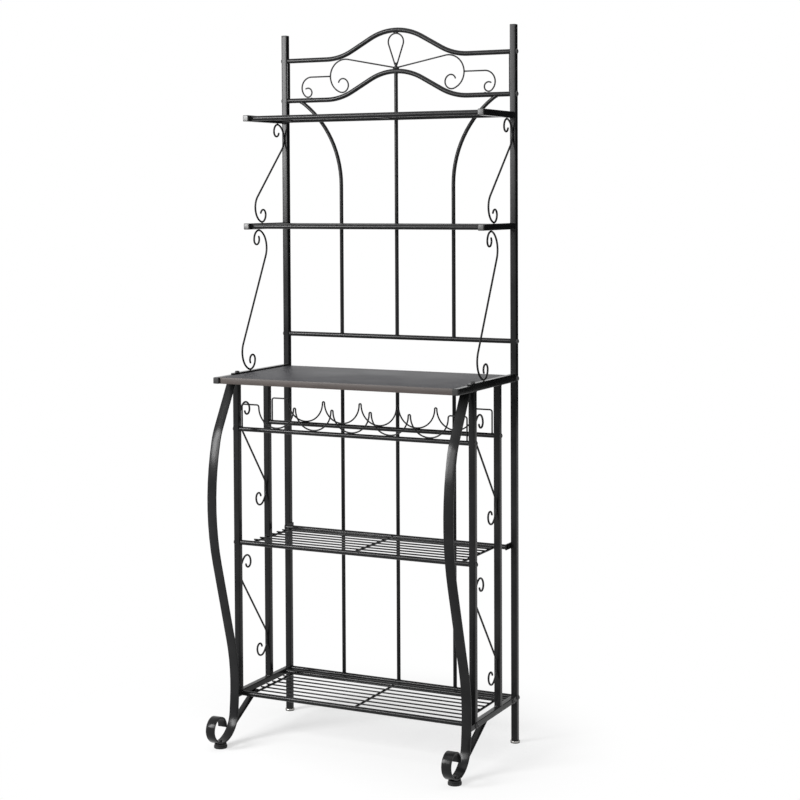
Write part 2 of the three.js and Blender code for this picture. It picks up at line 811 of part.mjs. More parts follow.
// S scrolls of the side frame fill the space between the posts, those of the hutch hang between its rails
const wireGap = scrollWireRadius + seat;
const frameScrollDepth = frontPostOffset - middlePostOffset - tubeSize - 2 * wireGap;
const frameScrollMiddle = -(frontPostOffset + middlePostOffset) / 2;
const frameScrollHeights = [
  ['upper', tableUnderside - frameScrollDrop],
  ['lower', bottomRailTop + frameScrollRise],
];
const hutchScrolls = [
  {
    name: 'upper',
    sizes: upperScroll,
    low: hutchShelfHeight + tubeSize / 2,
    high: topShelfHeight - tubeSize / 2,
    middle: uprightFront - wireGap - upperScroll.depth / 2,
  },
  {
    name: 'lower',
    sizes: lowerScroll,
    low: hutchBarTop,
    high: hutchShelfHeight - tubeSize / 2,
    middle: -lowerScrollOffset,
  },
];

for (const [side, name] of sideNames) {
  place(`back_rod_${name}`, geometryOf(sideBackRod(side)), black);

  const frame = new THREE.Group();
  frame.position.x = side * sideMiddle;
  rack.add(frame);

  place(`upright_${name}`, geometryOf(uprightSolid()), black, frame);
  const cap = place(`upright_cap_${name}`, plugGeometry(capHead, capBevel), plastic, frame);
  cap.position.z = rackHeight;
  const bracket = place(`crown_end_bar_${name}`, endBar.clone(), black);
  bracket.position.set(side * (innerFace - endBarThickness / 2), 0, (endBarLow + endBarHigh) / 2);

  for (const scroll of hutchScrolls) {
    const height = scroll.high - scroll.low - 2 * wireGap;
    const geometry = scrollWire(scroll.sizes, scroll.sizes.depth, height, 1);
    const wire = place(`hutch_scroll_${scroll.name}_${name}`, geometry, black, frame);
    wire.position.set(0, scroll.middle, (scroll.low + scroll.high) / 2);
  }
  place(`hutch_bar_${name}`, hutchBar(), black, frame);
  const hutchBolt = place(`hutch_bar_bolt_${name}`, hexBolt(hutchBoltGrip), black, frame);
  hutchBolt.position.set(0, -hutchBoltOffset, hutchBarTop);

  const plugs = [
    ['top_shelf_plug', hutchShelfReach, topShelfHeight],
    ['hutch_shelf_plug', hutchShelfReach, hutchShelfHeight],
    ['table_plug', tableReach, tableMiddle],
  ];
  for (const [plugName, reach, height] of plugs) {
    const plug = place(`${plugName}_${name}`, plugGeometry(plugHead, plugBevel), plastic, frame);
    plug.rotation.x = Math.PI / 2;
    plug.position.set(0, -reach, height);
  }

  place(`table_rail_${name}`, geometryOf(tableRail()), black, frame);
  place(`front_post_${name}`, geometryOf(post(frontPostOffset)), black, frame);
  place(`middle_post_${name}`, geometryOf(post(middlePostOffset)), black, frame);
  place(`bottom_rail_${name}`, geometryOf(bottomRail()), black, frame);
  for (const [level, height] of frameScrollHeights) {
    const geometry = scrollWire(frameScroll, frameScrollDepth, frameScrollHeight, -1);
    const wire = place(`frame_scroll_${level}_${name}`, geometry, black, frame);
    wire.position.set(0, frameScrollMiddle, height);
  }

  const leg = place(`leg_${name}`, geometryOf(legSolid()), black);
  leg.position.x = side * legMiddle;
  const pad = place(`front_foot_${name}`, padGeometry(), plastic);
  pad.position.set(side * legMiddle, -legFootOffset, 0);
  place(`rear_foot_${name}`, glideGeometry(), silver, frame);

  const railBolt = place(`hutch_rail_bolt_${name}`, domeBolt(tubeSize + railBoltGrip), black);
  railBolt.rotation.y = side * Math.PI / 2;
  railBolt.position.set(side * rackWidth / 2, 0, hutchRailHeight);
}

// The footprint is centred on the origin
const box = new THREE.Box3().setFromObject(rack);
rack.position.set(0, -(box.min.y + box.max.y) / 2, -box.min.z);

export default rack;
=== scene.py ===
import math

import bmesh
import bpy
from mathutils import Matrix, Vector


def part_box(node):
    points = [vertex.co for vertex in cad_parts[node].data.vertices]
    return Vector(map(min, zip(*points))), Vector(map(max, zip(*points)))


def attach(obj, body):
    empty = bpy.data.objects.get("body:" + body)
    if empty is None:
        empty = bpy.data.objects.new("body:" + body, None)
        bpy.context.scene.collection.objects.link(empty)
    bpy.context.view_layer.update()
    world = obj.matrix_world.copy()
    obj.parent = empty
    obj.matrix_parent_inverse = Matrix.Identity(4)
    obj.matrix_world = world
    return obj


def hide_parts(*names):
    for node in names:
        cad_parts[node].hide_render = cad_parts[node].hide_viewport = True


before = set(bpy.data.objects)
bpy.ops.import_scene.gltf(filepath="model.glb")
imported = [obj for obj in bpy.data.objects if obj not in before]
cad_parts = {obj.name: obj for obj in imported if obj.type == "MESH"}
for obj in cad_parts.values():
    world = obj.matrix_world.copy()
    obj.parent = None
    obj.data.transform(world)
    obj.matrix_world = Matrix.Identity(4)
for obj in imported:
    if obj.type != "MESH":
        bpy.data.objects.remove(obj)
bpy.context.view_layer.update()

# Camera: it stands four and a half metres off, to the front and right of the rack, a little above its middle.
# The picture is cut from the upper part of what the lens takes in, so the lens is shifted.
mm = 0.001
picture_width = 800
sensor_width = 36
camera_place = Vector((2060.6, -3957.3, 1401.6)) * mm
camera_yaw = 0.46214
camera_pitch = -0.0391
camera_roll = -0.00477
focal_pixels = 1772.0
lens_middle_x = 393.4
lens_middle_y = 265.1

camera = bpy.data.objects.new("camera", bpy.data.cameras.new("camera"))
bpy.context.scene.collection.objects.link(camera)
turn = Matrix.Rotation(camera_yaw, 4, "Z") @ Matrix.Rotation(math.pi / 2 + camera_pitch, 4, "X")
turn = turn @ Matrix.Rotation(camera_roll, 4, "Z")
camera.matrix_world = Matrix.Translation(camera_place) @ turn
camera.data.sensor_width = sensor_width
camera.data.lens = focal_pixels / picture_width * sensor_width
camera.data.shift_x = 0.5 - lens_middle_x / picture_width
camera.data.shift_y = lens_middle_y / picture_width - 0.5
bpy.context.scene.camera = camera
bpy.context.scene.view_settings.view_transform = "Standard"

# Uprights: two full-height square steel tubes, powder-coated satin black, that carry everything behind the
# shelves. A threaded plate is welded into each foot for the levelling glide.
tube_wall = 1.5 * mm
tube_corner = 1.6 * mm
corner_steps = 5
nut_plate_thickness = 5 * mm
stem_radius = 4 * mm
stem_clearance = 0.5 * mm
sides = {"left": -1, "right": 1}
upright_low, upright_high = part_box("upright_right")
tube_size = upright_high.x - upright_low.x
tube_bore = tube_size - 2 * tube_wall
outer_face = upright_high.x
inner_face = upright_low.x
side_middle = (inner_face + outer_face) / 2
back = (upright_low.y + upright_high.y) / 2
upright_front = upright_low.y - back

east = Vector((1, 0, 0))
north = Vector((0, 1, 0))
upward = Vector((0, 0, 1))


class Solid:
    """The points and faces of one piece, gathered from the closed shells that it is made of."""

    def __init__(self):
        self.points = []
        self.faces = []

    def loft(self, rings, closed=False):
        """Skins a row of rings. An open row gets its two ends capped, a closed one runs back to its start."""
        first = len(self.points)
        count = len(rings[0])
        for ring in rings:
            self.points.extend(ring)
        for i in range(len(rings) if closed else len(rings) - 1):
            near = first + i * count
            far = first + (i + 1) % len(rings) * count
            for k in range(count):
                after = (k + 1) % count
                self.faces.append((near + k, near + after, far + after, far + k))
        if not closed:
            end = first + (len(rings) - 1) * count
            self.faces.append(tuple(range(first + count - 1, first - 1, -1)))
            self.faces.append(tuple(range(end, end + count)))

    def stack(self, place, axis, across, out, layers):
        """Skins outlines that lie square to an axis, each at its own reach along it from the place."""
        self.loft([ring(place + axis * reach, across, out, outline) for reach, outline in layers])


def ring(place, across, out, outline):
    return [place + across * a + out * b for a, b in outline]


def rounded_square(width, height, corner, steps=corner_steps):
    outline = []
    for quarter, (x, y) in enumerate(((1, 1), (-1, 1), (-1, -1), (1, -1))):
        for i in range(steps + 1):
            angle = math.radians(90 * (quarter + i / steps))
            outline.append((
                x * (width / 2 - corner) + corner * math.cos(angle),
                y * (height / 2 - corner) + corner * math.sin(angle),
            ))
    return outline


def hollow(solid, start, end, across, out, outer, inner):
    walls = ((start, outer), (end, outer), (end, inner), (start, inner))
    solid.loft([ring(place, across, out, outline) for place, outline in walls], closed=True)


tube_outline = rounded_square(tube_size, tube_size, tube_corner)
bore_outline = rounded_square(tube_bore, tube_bore, tube_corner - tube_wall)


def square_tube(solid, start, end, out):
    across = out.cross((end - start).normalized())
    hollow(solid, start, end, across, out, tube_outline, bore_outline)


def node_group(name, inputs, outputs):
    """A shader node group and its inputs. Each socket is named with a first value, a colour or one number."""
    group = bpy.data.node_groups.new(name, "ShaderNodeTree")
    for way, sockets in (("INPUT", inputs), ("OUTPUT", outputs)):
        for socket, value in sockets.items():
            kind = "NodeSocketColor" if isinstance(value, tuple) else "NodeSocketFloat"
            made = group.interface.new_socket(socket, in_out=way, socket_type=kind)
            made.default_value = value
    return group, group.nodes.new("NodeGroupInput").outputs


def feed(node, inputs):
    """Fills a node's inputs: another node's output is joined on, and anything else is a plain value."""
    for entry, value in dict(inputs).items():
        if isinstance(value, bpy.types.NodeSocket):
            node.id_data.links.new(value, node.inputs[entry])
        else:
            node.inputs[entry].default_value = value


def add_node(tree, kind, inputs=(), **settings):
    """Adds a shader node with its settings and inputs, and gives its outputs."""
    node = tree.nodes.new(kind)
    for setting, value in settings.items():
        setattr(node, setting, value)
    feed(node, inputs)
    return node.outputs


patch_detail = 3
patch_low = 0.3
patch_high = 0.7
grain_detail = 2
grain_share = 0.15


def satin_surface_group():
    """A coat that drifts between two tones and two roughnesses in broad patches, under a fine raised grain."""
    group, given = node_group("satin_surface", {
        "Dark": (0, 0, 0, 1), "Light": (1, 1, 1, 1), "Smooth": 0.3, "Rough": 0.5, "Patches": 20, "Grains": 800,
    }, {"Colour": (0, 0, 0, 1), "Roughness": 0.5, "Height": 0})
    place = add_node(group, "ShaderNodeTexCoord")["Object"]
    patches, grains = (
        add_node(group, "ShaderNodeTexNoise", {"Vector": place, "Scale": given[scale], "Detail": detail})["Fac"]
        for scale, detail in (("Patches", patch_detail), ("Grains", grain_detail))
    )
    spread = add_node(group, "ShaderNodeMapRange", {
        "Value": patches, "From Min": patch_low, "From Max": patch_high,
    })["Result"]
    blend = add_node(group, "ShaderNodeMath", {
        0: grains, 1: grain_share, 2: spread,
    }, operation="MULTIPLY_ADD")["Value"]
    tone = add_node(group, "ShaderNodeMix", {
        "Factor": blend, "A": given["Dark"], "B": given["Light"],
    }, data_type="RGBA")["Result"]
    gloss = add_node(group, "ShaderNodeMapRange", {
        "Value": spread, "To Min": given["Smooth"], "To Max": given["Rough"],
    })["Result"]
    add_node(group, "NodeGroupOutput", {"Colour": tone, "Roughness": gloss, "Height": grains})
    return group


satin_surface = satin_surface_group()


def satin_material(name, dark, light, roughness, patches, grains, relief, specular=0.5):
    """A material of the satin surface. The relief is the height of its grain in metres."""
    material = bpy.data.materials.new(name)
    material.use_nodes = True
    tree = material.node_tree
    smooth, rough = roughness
    surface = add_node(tree, "ShaderNodeGroup", {
        "Dark": (*dark, 1), "Light": (*light, 1), "Smooth": smooth, "Rough": rough,
        "Patches": patches, "Grains": grains,
    }, node_tree=satin_surface, name="surface")
    bump = add_node(tree, "ShaderNodeBump", {"Distance": relief, "Height": surface["Height"]}, name="grain")
    feed(tree.nodes["Principled BSDF"], {
        "Base Color": surface["Colour"], "Roughness": surface["Roughness"], "Normal": bump["Normal"],
        "Specular IOR Level": specular,
    })
    return material


powder_coat = satin_material(
    "black_powder_coat", (0.0070, 0.0071, 0.0074), (0.0118, 0.0119, 0.0123), roughness=(0.17, 0.24),
    patches=14, grains=700, relief=0.0015 * mm, specular=0.12,
)
sharp_edge = math.radians(38)


def make_piece(name, solid, material, body="rack", nodes=()):
    mesh = bpy.data.meshes.new(name)
    mesh.from_pydata(solid.points, [], solid.faces)
    shaped = bmesh.new()
    shaped.from_mesh(mesh)
    bmesh.ops.recalc_face_normals(shaped, faces=shaped.faces)
    shaped.to_mesh(mesh)
    shaped.free()
    mesh.polygons.foreach_set("use_smooth", [True] * len(mesh.polygons))
    mesh.set_sharp_from_angle(angle=sharp_edge)
    mesh.materials.append(material)
    piece = bpy.data.objects.new(name, mesh)
    bpy.context.scene.collection.objects.link(piece)
    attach(piece, body)
    if nodes:
        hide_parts(*nodes)


def steel(name, solid, node):
    make_piece(name, solid, powder_coat, nodes=[node])


hole_size = 2 * (stem_radius + stem_clearance)
hole_outline = rounded_square(hole_size, hole_size, stem_radius)
for side_name, side in sides.items():
    upright = Solid()
    foot = Vector((side * side_middle, back, upright_low.z))
    square_tube(upright, foot, Vector((foot.x, foot.y, upright_high.z)), east)
    plate_top = foot + upward * nut_plate_thickness
    hollow(upright, foot, plate_top, east, north, bore_outline, hole_outline)
    steel(f"upright_{side_name}_tube", upright, f"upright_{side_name}")

# Side frames: a bottom rail from the leg back to the upright, and a front and a middle post that stand on it
# under the worktop's side rail. All are the same square tube, welded up, and coated with the rest.
table_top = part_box("worktop_board")[1].z
table_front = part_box("table_rail_left")[0].y - back
table_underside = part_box("table_rail_left")[0].z
table_middle = table_underside + tube_size / 2
bottom_rail_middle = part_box("bottom_rail_left")[0].z + tube_size / 2
rail_edge = 0.4 * mm
rail_edge_angle = math.radians(60)
bead_radius = 0.9 * mm
bead_sides = 6
bead_ripples = 9
bead_ripple_share = 0.15


def round_outline(radius, count):
    angles = [2 * math.pi * i / count for i in range(count)]
    return [(radius * math.cos(angle), radius * math.sin(angle)) for angle in angles]


def bead(solid, loop, radius=bead_radius):
    """A weld bead laid round a joint: a thin ring of metal along a closed loop, with its puddles' ripples."""
    middle = sum(loop, Vector()) / len(loop)
    rings = []
    for i, place in enumerate(loop):
        along = (loop[(i + 1) % len(loop)] - loop[i - 1]).normalized()
        out = (place - middle).normalized()
        rise = along.cross(out).normalized()
        ripple = 1 + bead_ripple_share * math.sin(2 * math.pi * bead_ripples * i / len(loop))
        rings.append(ring(place, out, rise, round_outline(radius * ripple, bead_sides)))
    solid.loft(rings, closed=True)


def square_bead(solid, place, out=east, across=north):
    bead(solid, ring(place, across, out, tube_outline))


for side_name, side in sides.items():
    x = side * side_middle
    for post_name in (f"front_post_{side_name}", f"middle_post_{side_name}"):
        low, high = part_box(post_name)
        y = (low.y + high.y) / 2
        post = Solid()
        square_tube(post, Vector((x, y, low.z)), Vector((x, y, high.z)), east)
        square_bead(post, Vector((x, y, low.z)))
        square_bead(post, Vector((x, y, high.z)))
        steel(f"{post_name}_tube", post, post_name)

    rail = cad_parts[f"bottom_rail_{side_name}"]
    rail.data.materials.clear()
    rail.data.materials.append(powder_coat)
    rail.modifiers.new("weld", "WELD")
    rounding = rail.modifiers.new("rounding", "BEVEL")
    rounding.width = rail_edge
    rounding.segments = 2
    rounding.limit_method = "ANGLE"
    rounding.angle_limit = rail_edge_angle
    rail.modifiers.new("shading", "WEIGHTED_NORMAL")

    table_rail = Solid()
    rail_front = Vector((x, back + table_front, table_middle))
    square_tube(table_rail, rail_front, Vector((x, back + upright_front, table_middle)), east)
    steel(f"table_rail_{side_name}_tube", table_rail, f"table_rail_{side_name}")

# Legs: one flat bar each, curled up at the floor, drawn in at the ankle, swelling at the knee and running in
# under the worktop's rail, with a thin flat brace up to the bottom rail. Bent cold and welded on.
leg_low, leg_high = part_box("leg_right")
leg_thickness = 4 * mm
leg_edge = 0.9 * mm
leg_width = leg_high.x - leg_low.x
leg_middle = (leg_low.x + leg_high.x) / 2
leg_foot_offset = 363 * mm
pad_top = 12 * mm
seat = 0.3 * mm
foot_rear_radius = 66 * mm
foot_front_radius = 52 * mm
foot_curl_radius = 29 * mm
foot_front_turn = 55.6
foot_curl_turn = 218
foot_rear_turn = 84.5
ankle_length = 30 * mm
ankle_radius = 420 * mm
ankle_turn = 22
knee_radius = 560 * mm
knee_turn = 32.5
hip_radius = 150 * mm
hip_turn = 14
hip_length = 132.7 * mm
brace_width = 19 * mm
brace_thickness = 3 * mm
brace_foot_height = 38 * mm
brace_head_offset = 190 * mm
bend_step = 4
edge_steps = 3
brace_edge_steps = 2
tip_angles = (30, 60, 84)


class BentLine:
    """A line bent in its own plane: straight runs and arcs, each starting where the last one ended. The
    heading is in degrees from the plane's first axis, and a positive turn is anticlockwise."""

    def __init__(self, start, heading):
        self.points = [Vector(start)]
        self.heading = heading

    def along(self, place, heading, length):
        angle = math.radians(heading)
        return place + Vector((math.cos(angle), math.sin(angle))) * length

    def straight(self, length):
        self.points.append(self.along(self.points[-1], self.heading, length))
        return self

    def arc(self, radius, turn):
        start = self.heading - math.copysign(90, turn)
        middle = self.along(self.points[-1], start, -radius)
        steps = math.ceil(abs(turn) / bend_step)
        for i in range(1, steps + 1):
            self.points.append(self.along(middle, start + turn * i / steps, radius))
        self.heading += turn
        return self


def side_plane(points, x):
    return [Vector((x, back + point.x, point.y)) for point in points]


def sweep(solid, path, out, outline, tip=0, level_end=None):
    """Carries a section along a line that lies flat in the plane across out. A tip rounds both ends by that
    radius, and level_end cuts the far end off level at that height."""
    last = len(path) - 1
    rings = []
    for i, place in enumerate(path):
        along = (path[min(i + 1, last)] - path[max(i - 1, 0)]).normalized()
        rings.append(ring(place, out.cross(along), out, outline))
    if tip:
        for end, near in ((0, 1), (last, last - 1)):
            along = (path[end] - path[near]).normalized()
            across = out.cross(along) if end else out.cross(-along)
            caps = []
            for angle in map(math.radians, tip_angles):
                smaller = [(a * math.cos(angle), b * math.cos(angle)) for a, b in outline]
                caps.append(ring(path[end] + along * tip * math.sin(angle), across, out, smaller))
            rings = rings + caps if end else caps[::-1] + rings
    if level_end is not None:
        along = (path[last] - path[last - 1]).normalized()
        rings[-1] = [point + along * ((level_end - point.z) / along.z) for point in rings[-1]]
    solid.loft(rings)


def leg_run(shin_length):
    rise = BentLine(leg_foot, 0)
    rise.arc(foot_rear_radius, foot_rear_turn).straight(ankle_length).arc(ankle_radius, ankle_turn)
    rise.straight(shin_length).arc(knee_radius, -knee_turn).arc(hip_radius, -hip_turn)
    return rise.straight(hip_length)


leg_foot = (-leg_foot_offset, pad_top + seat + leg_thickness / 2)
shin_slope = math.sin(math.radians(foot_rear_turn + ankle_turn))
shin_length = (table_underside + leg_thickness - leg_run(0).points[-1].y) / shin_slope
toe = BentLine(leg_foot, 180)
toe.arc(foot_front_radius, -foot_front_turn).arc(foot_curl_radius, -foot_curl_turn)
rise_points = leg_run(shin_length).points
leg_points = toe.points[:0:-1] + rise_points
brace_foot = next(point for point in rise_points if point.y > brace_foot_height)
brace_head = Vector((-brace_head_offset, bottom_rail_middle - tube_size / 2 - seat))
leg_outline = rounded_square(leg_thickness, leg_width, leg_edge, edge_steps)
brace_outline = rounded_square(brace_thickness, brace_width, brace_thickness / 4, brace_edge_steps)

for side_name, side in sides.items():
    leg = Solid()
    x = side * leg_middle
    sweep(leg, side_plane(leg_points, x), east, leg_outline, level_end=table_underside - seat)
    sweep(leg, side_plane([brace_foot, brace_head], x), east, brace_outline, level_end=brace_head.y)
    steel(f"leg_{side_name}_bar", leg, f"leg_{side_name}")

# Scroll wires in the side frames: two S shapes a side, point-symmetric, that just fill the space between the
# posts. Round wire, bent in a jig and tacked to the posts.
scroll_radius = 2.5 * mm
wire_sides = 14
tack_length = 5 * mm
tack_radius = 1.1 * mm
tack_steps = 12
post_offsets = [back - (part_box(f"{n}_left")[0].y + tube_size / 2) for n in ("front_post", "middle_post")]
frame_scroll_depth = post_offsets[0] - post_offsets[1] - tube_size - 2 * (scroll_radius + seat)
frame_scroll_height = 280 * mm
frame_scroll_shape = {
    "bulge": 45 * mm, "curl": 20.5 * mm, "tip": 12 * mm, "change": 52, "curl_turn": 128, "tip_turn": 165,
}


def s_curve(depth, height, hand, bulge, curl, tip, change, curl_turn, tip_turn):
    """The middle line of an S that fills a depth and a height. Hand 1 bulges to the rear at the top."""
    middle = Vector((
        depth / 2 - bulge,
        height / 2 - curl - (bulge - curl) * math.sin(math.radians(change)),
    ))
    heading = math.degrees(math.atan2(middle.y, middle.x) - math.asin(bulge / middle.length))
    half = BentLine((0, 0), heading)
    half.straight(math.sqrt(middle.length ** 2 - bulge ** 2)).arc(bulge, change + 90 - heading)
    half.arc(curl, curl_turn).arc(tip, tip_turn)
    outward = half.points[1:]
    points = [-point for point in outward[::-1]] + outward
    return [Vector((hand * point.x, point.y)) for point in points]


def turned(solid, place, axis, profile, count):
    """A turned shape: rings of given radius at given heights along the axis from place."""
    across = axis.orthogonal().normalized()
    layers = [(height, round_outline(radius, count)) for radius, height in profile]
    solid.stack(place, axis, across, axis.cross(across), layers)


def tack(solid, place, along, length=tack_length, radius=tack_radius):
    """A short tack weld where two pieces touch: a lens of metal along the seam."""
    angles = [math.pi * i / tack_steps for i in range(1, tack_steps)]
    lens = [(radius * math.sin(angle), -length / 2 * math.cos(angle)) for angle in angles]
    turned(solid, place, along, lens, tack_steps)


def scroll_piece(node, side, points, touch_axis):
    """A scroll wire in its node's place, tacked where it reaches furthest to the front and rear, touch_axis 0,
    or below and above, touch_axis 1."""
    x = side * side_middle
    low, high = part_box(node)
    middle = (low + high) / 2
    wire = Solid()
    path = [Vector((x, middle.y + point.x, middle.z + point.y)) for point in points]
    sweep(wire, path, east, round_outline(scroll_radius, wire_sides), tip=scroll_radius)
    for hand in (1, -1):
        furthest = max(points, key=lambda point: hand * point[touch_axis])
        touch = Vector((x, middle.y + furthest.x, middle.z + furthest.y))
        touch[1 + touch_axis] += hand * scroll_radius
        tack(wire, touch, (upward, north)[touch_axis])
    steel(f"{node}_wire", wire, node)


frame_scroll_points = s_curve(frame_scroll_depth, frame_scroll_height, -1, **frame_scroll_shape)
for side_name, side in sides.items():
    for level in ("upper", "lower"):
        scroll_piece(f"frame_scroll_{level}_{side_name}", side, frame_scroll_points, 0)

# Levelling feet: black plastic pads screwed up into the scroll feet on black stems, and nickel-plated glides
# on dark soles under the uprights, on bright zinc-plated stems. Each turns on its own thread. The black sole is
# partly the glide's dark base and partly painted contact shadow where the glide meets the floor.
glide_radius = 13 * mm
glide_height = 6 * mm
glide_rim = 1.6 * mm
glide_stem = 24 * mm
# The sole: a black disc under each glide, partly its real dark base and partly painted contact shadow.
sole_and_shadow_radius = 12.2 * mm
sole_and_shadow_height = 2 * mm
sole_and_shadow_rim = 0.5 * mm
pad_radius = 17 * mm
pad_height = 7 * mm
pad_rim = 1.2 * mm
pad_stem = 9 * mm
collar_radius = 15.5 * mm
collar_rim = 0.8 * mm
foot_overlap = 1 * mm
thread_pitch = 1.25 * mm
thread_depth = 0.55 * mm
thread_sides = 24
thread_rings_per_pitch = 4
disc_sides = 48
rim_steps = 4

black_plastic = satin_material(
    "black_plastic", (0.010, 0.010, 0.010), (0.017, 0.017, 0.017), roughness=(0.42, 0.56),
    patches=60, grains=1600, relief=0.015 * mm, specular=0.22,
)
nickel_plate = satin_material(
    "nickel_plate", (0.30, 0.29, 0.28), (0.46, 0.45, 0.43), roughness=(0.2, 0.34),
    patches=110, grains=2000, relief=0.006 * mm,
)
zinc_thread = satin_material(
    "zinc_thread", (0.45, 0.46, 0.47), (0.60, 0.61, 0.62), roughness=(0.24, 0.4),
    patches=140, grains=2400, relief=0.006 * mm,
)
for plated in (nickel_plate, zinc_thread):
    feed(plated.node_tree.nodes["Principled BSDF"], {"Metallic": 1})


def thread(solid, place, low, high):
    """A screw thread up the z axis: rings whose radius rises and falls once round for each pitch of height."""
    rings = []
    steps = math.ceil((high - low) / (thread_pitch / thread_rings_per_pitch))
    for i in range(steps + 1):
        height = low + (high - low) * i / steps
        circle = []
        for k in range(thread_sides):
            phase = (height / thread_pitch - k / thread_sides) % 1
            radius = stem_radius - thread_depth * abs(2 * phase - 1)
            angle = 2 * math.pi * k / thread_sides
            circle.append(place + Vector((radius * math.cos(angle), radius * math.sin(angle), height)))
        rings.append(circle)
    solid.loft(rings)


def disc(solid, place, radius, low, high, rim, count=disc_sides):
    """A flat disc round the z axis with rounded rims."""
    profile = []
    for middle, start in ((low + rim, -90), (high - rim, 0)):
        for i in range(rim_steps + 1):
            angle = math.radians(start + 90 * i / rim_steps)
            profile.append((radius - rim + rim * math.cos(angle), middle + rim * math.sin(angle)))
    turned(solid, place, upward, profile, count)


for side_name, side in sides.items():
    foot = f"front_foot_{side_name}"
    centre = Vector((side * leg_middle, back - leg_foot_offset, 0))
    pad = Solid()
    disc(pad, centre, pad_radius, 0, pad_height, pad_rim)
    disc(pad, centre, collar_radius, pad_height - foot_overlap, pad_top, collar_rim)
    make_piece(f"{foot}_pad", pad, black_plastic, foot, [foot])
    stem = Solid()
    thread(stem, centre, pad_top - foot_overlap, pad_top + pad_stem)
    make_piece(f"{foot}_stem", stem, black_plastic, foot)

    foot = f"rear_foot_{side_name}"
    centre = Vector((side * side_middle, back, 0))
    glide = Solid()
    disc(glide, centre, glide_radius, sole_and_shadow_height, glide_height, glide_rim)
    make_piece(f"{foot}_glide", glide, nickel_plate, foot, [foot])
    # Black sole under the glide: partly its dark base, partly painted contact shadow on the floor.
    sole_and_shadow = Solid()
    disc(sole_and_shadow, centre, sole_and_shadow_radius, 0, sole_and_shadow_height + sole_and_shadow_rim, sole_and_shadow_rim)
    make_piece(f"{foot}_sole", sole_and_shadow, black_plastic, foot)
    stem = Solid()
    thread(stem, centre, glide_height - foot_overlap, glide_height + glide_stem)
    make_piece(f"{foot}_stem", stem, zinc_thread, foot)

# Bottom and middle shelves: a round front and rear rod between the side frames, three thinner cross rods, and
# fine wires lying on those. All welded; the middle shelf's rear rod ends in tabs that bolt to the uprights.
rail_radius = 6.35 * mm
rail_sides = 24
fine_radius = 2 * mm
fine_sides = 12
cross_radius = 3 * mm
cross_inset = 29 * mm
cross_offset = inner_face - cross_inset
wire_pitch = 29 * mm
wire_overhang = 5 * mm
weld_bite = 0.8 * mm
fine_bead_radius = bead_radius * 0.8
saddle_steps = 28
rear_rod_offset = 30 * mm
tab_thickness = 3 * mm
tab_height = 15 * mm
tab_reach = 37 * mm
tab_corner = 2 * mm


def rod(solid, start, end, radius, count, tip=0):
    """A straight round rod. Its section is laid out from the axis that it is squarest to."""
    along = (end - start).normalized()
    out = upward if abs(along.z) < 0.5 else north
    out = (out - along * out.dot(along)).normalized()
    sweep(solid, [start, end], out, round_outline(radius, count), tip)


def rod_across(solid, half, y, z, radius, count, tip=0):
    rod(solid, Vector((-half, back + y, z)), Vector((half, back + y, z)), radius, count, tip)


def saddle_bead(solid, place, rail_axis, rod_axis, rail, rod_radius, radius=bead_radius):
    """The bead where a rod meets a round rail: the saddle line that the rod's side makes on the rail."""
    aside = rail_axis.cross(rod_axis).normalized()
    loop = []
    for a, b in round_outline(rod_radius, saddle_steps):
        height = math.sqrt(max(rail ** 2 - b ** 2, 0))
        loop.append(place + rail_axis * a + aside * b + rod_axis * height)
    bead(solid, loop, radius)


def end_beads(solid, y, z, radius=rail_radius):
    """The beads where a round rail's two ends meet the square tubes at the sides."""
    for side in sides.values():
        place = Vector((side * (inner_face - seat), back + y, z))
        bead(solid, ring(place, north, upward, round_outline(radius, rail_sides)))


def welded_rail(solid, y, z, radius=rail_radius, half=inner_face - seat):
    rod_across(solid, half, y, z, radius, rail_sides)
    end_beads(solid, y, z, radius)


def wire_grid(solid, front, rear, height):
    gaps = round((rear - front) / wire_pitch)
    wire_height = height + cross_radius + fine_radius - weld_bite
    for x in (-cross_offset, 0, cross_offset):
        start = Vector((x, back + front, height))
        end = Vector((x, back + rear, height))
        rod(solid, start, end, cross_radius, wire_sides)
        saddle_bead(solid, start, east, north, rail_radius, cross_radius, fine_bead_radius)
        saddle_bead(solid, end, east, -north, rail_radius, cross_radius, fine_bead_radius)
    for i in range(1, gaps):
        y = front + (rear - front) * i / gaps
        rod_across(solid, cross_offset + wire_overhang, y, wire_height, fine_radius, fine_sides, fine_radius)


front_rod = -post_offsets[0]
for shelf_name in ("bottom_shelf", "middle_shelf"):
    low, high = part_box(shelf_name)
    height = bottom_rail_middle if shelf_name == "bottom_shelf" else low.z + tab_height / 2
    shelf = Solid()
    for y in (front_rod, -rear_rod_offset):
        welded_rail(shelf, y, height)
    wire_grid(shelf, front_rod, -rear_rod_offset, height)
    if shelf_name == "middle_shelf":
        tab = rounded_square(tab_reach + tube_size / 2, tab_height, tab_corner, edge_steps)
        tab_middle = Vector((0, back + (tube_size / 2 - tab_reach) / 2, height))
        faces = ((inner_face - seat, tab), (inner_face - tab_thickness, tab))
        for side in sides.values():
            shelf.stack(tab_middle, east * side, north, upward, faces)
    steel(f"{shelf_name}_weldment", shelf, shelf_name)

# Lower back panel: a rail under the worktop and one at the bottom, with three rods welded between them. It
# bolts to the uprights through its rails' ends.
rod_radius = 5 * mm
rod_sides = 20
rod_inset = 160.5 * mm
rod_spacing = inner_face - rod_inset
panel_low, panel_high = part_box("lower_back_panel")
panel_rails = (panel_low.z + rail_radius, panel_high.z - rail_radius)


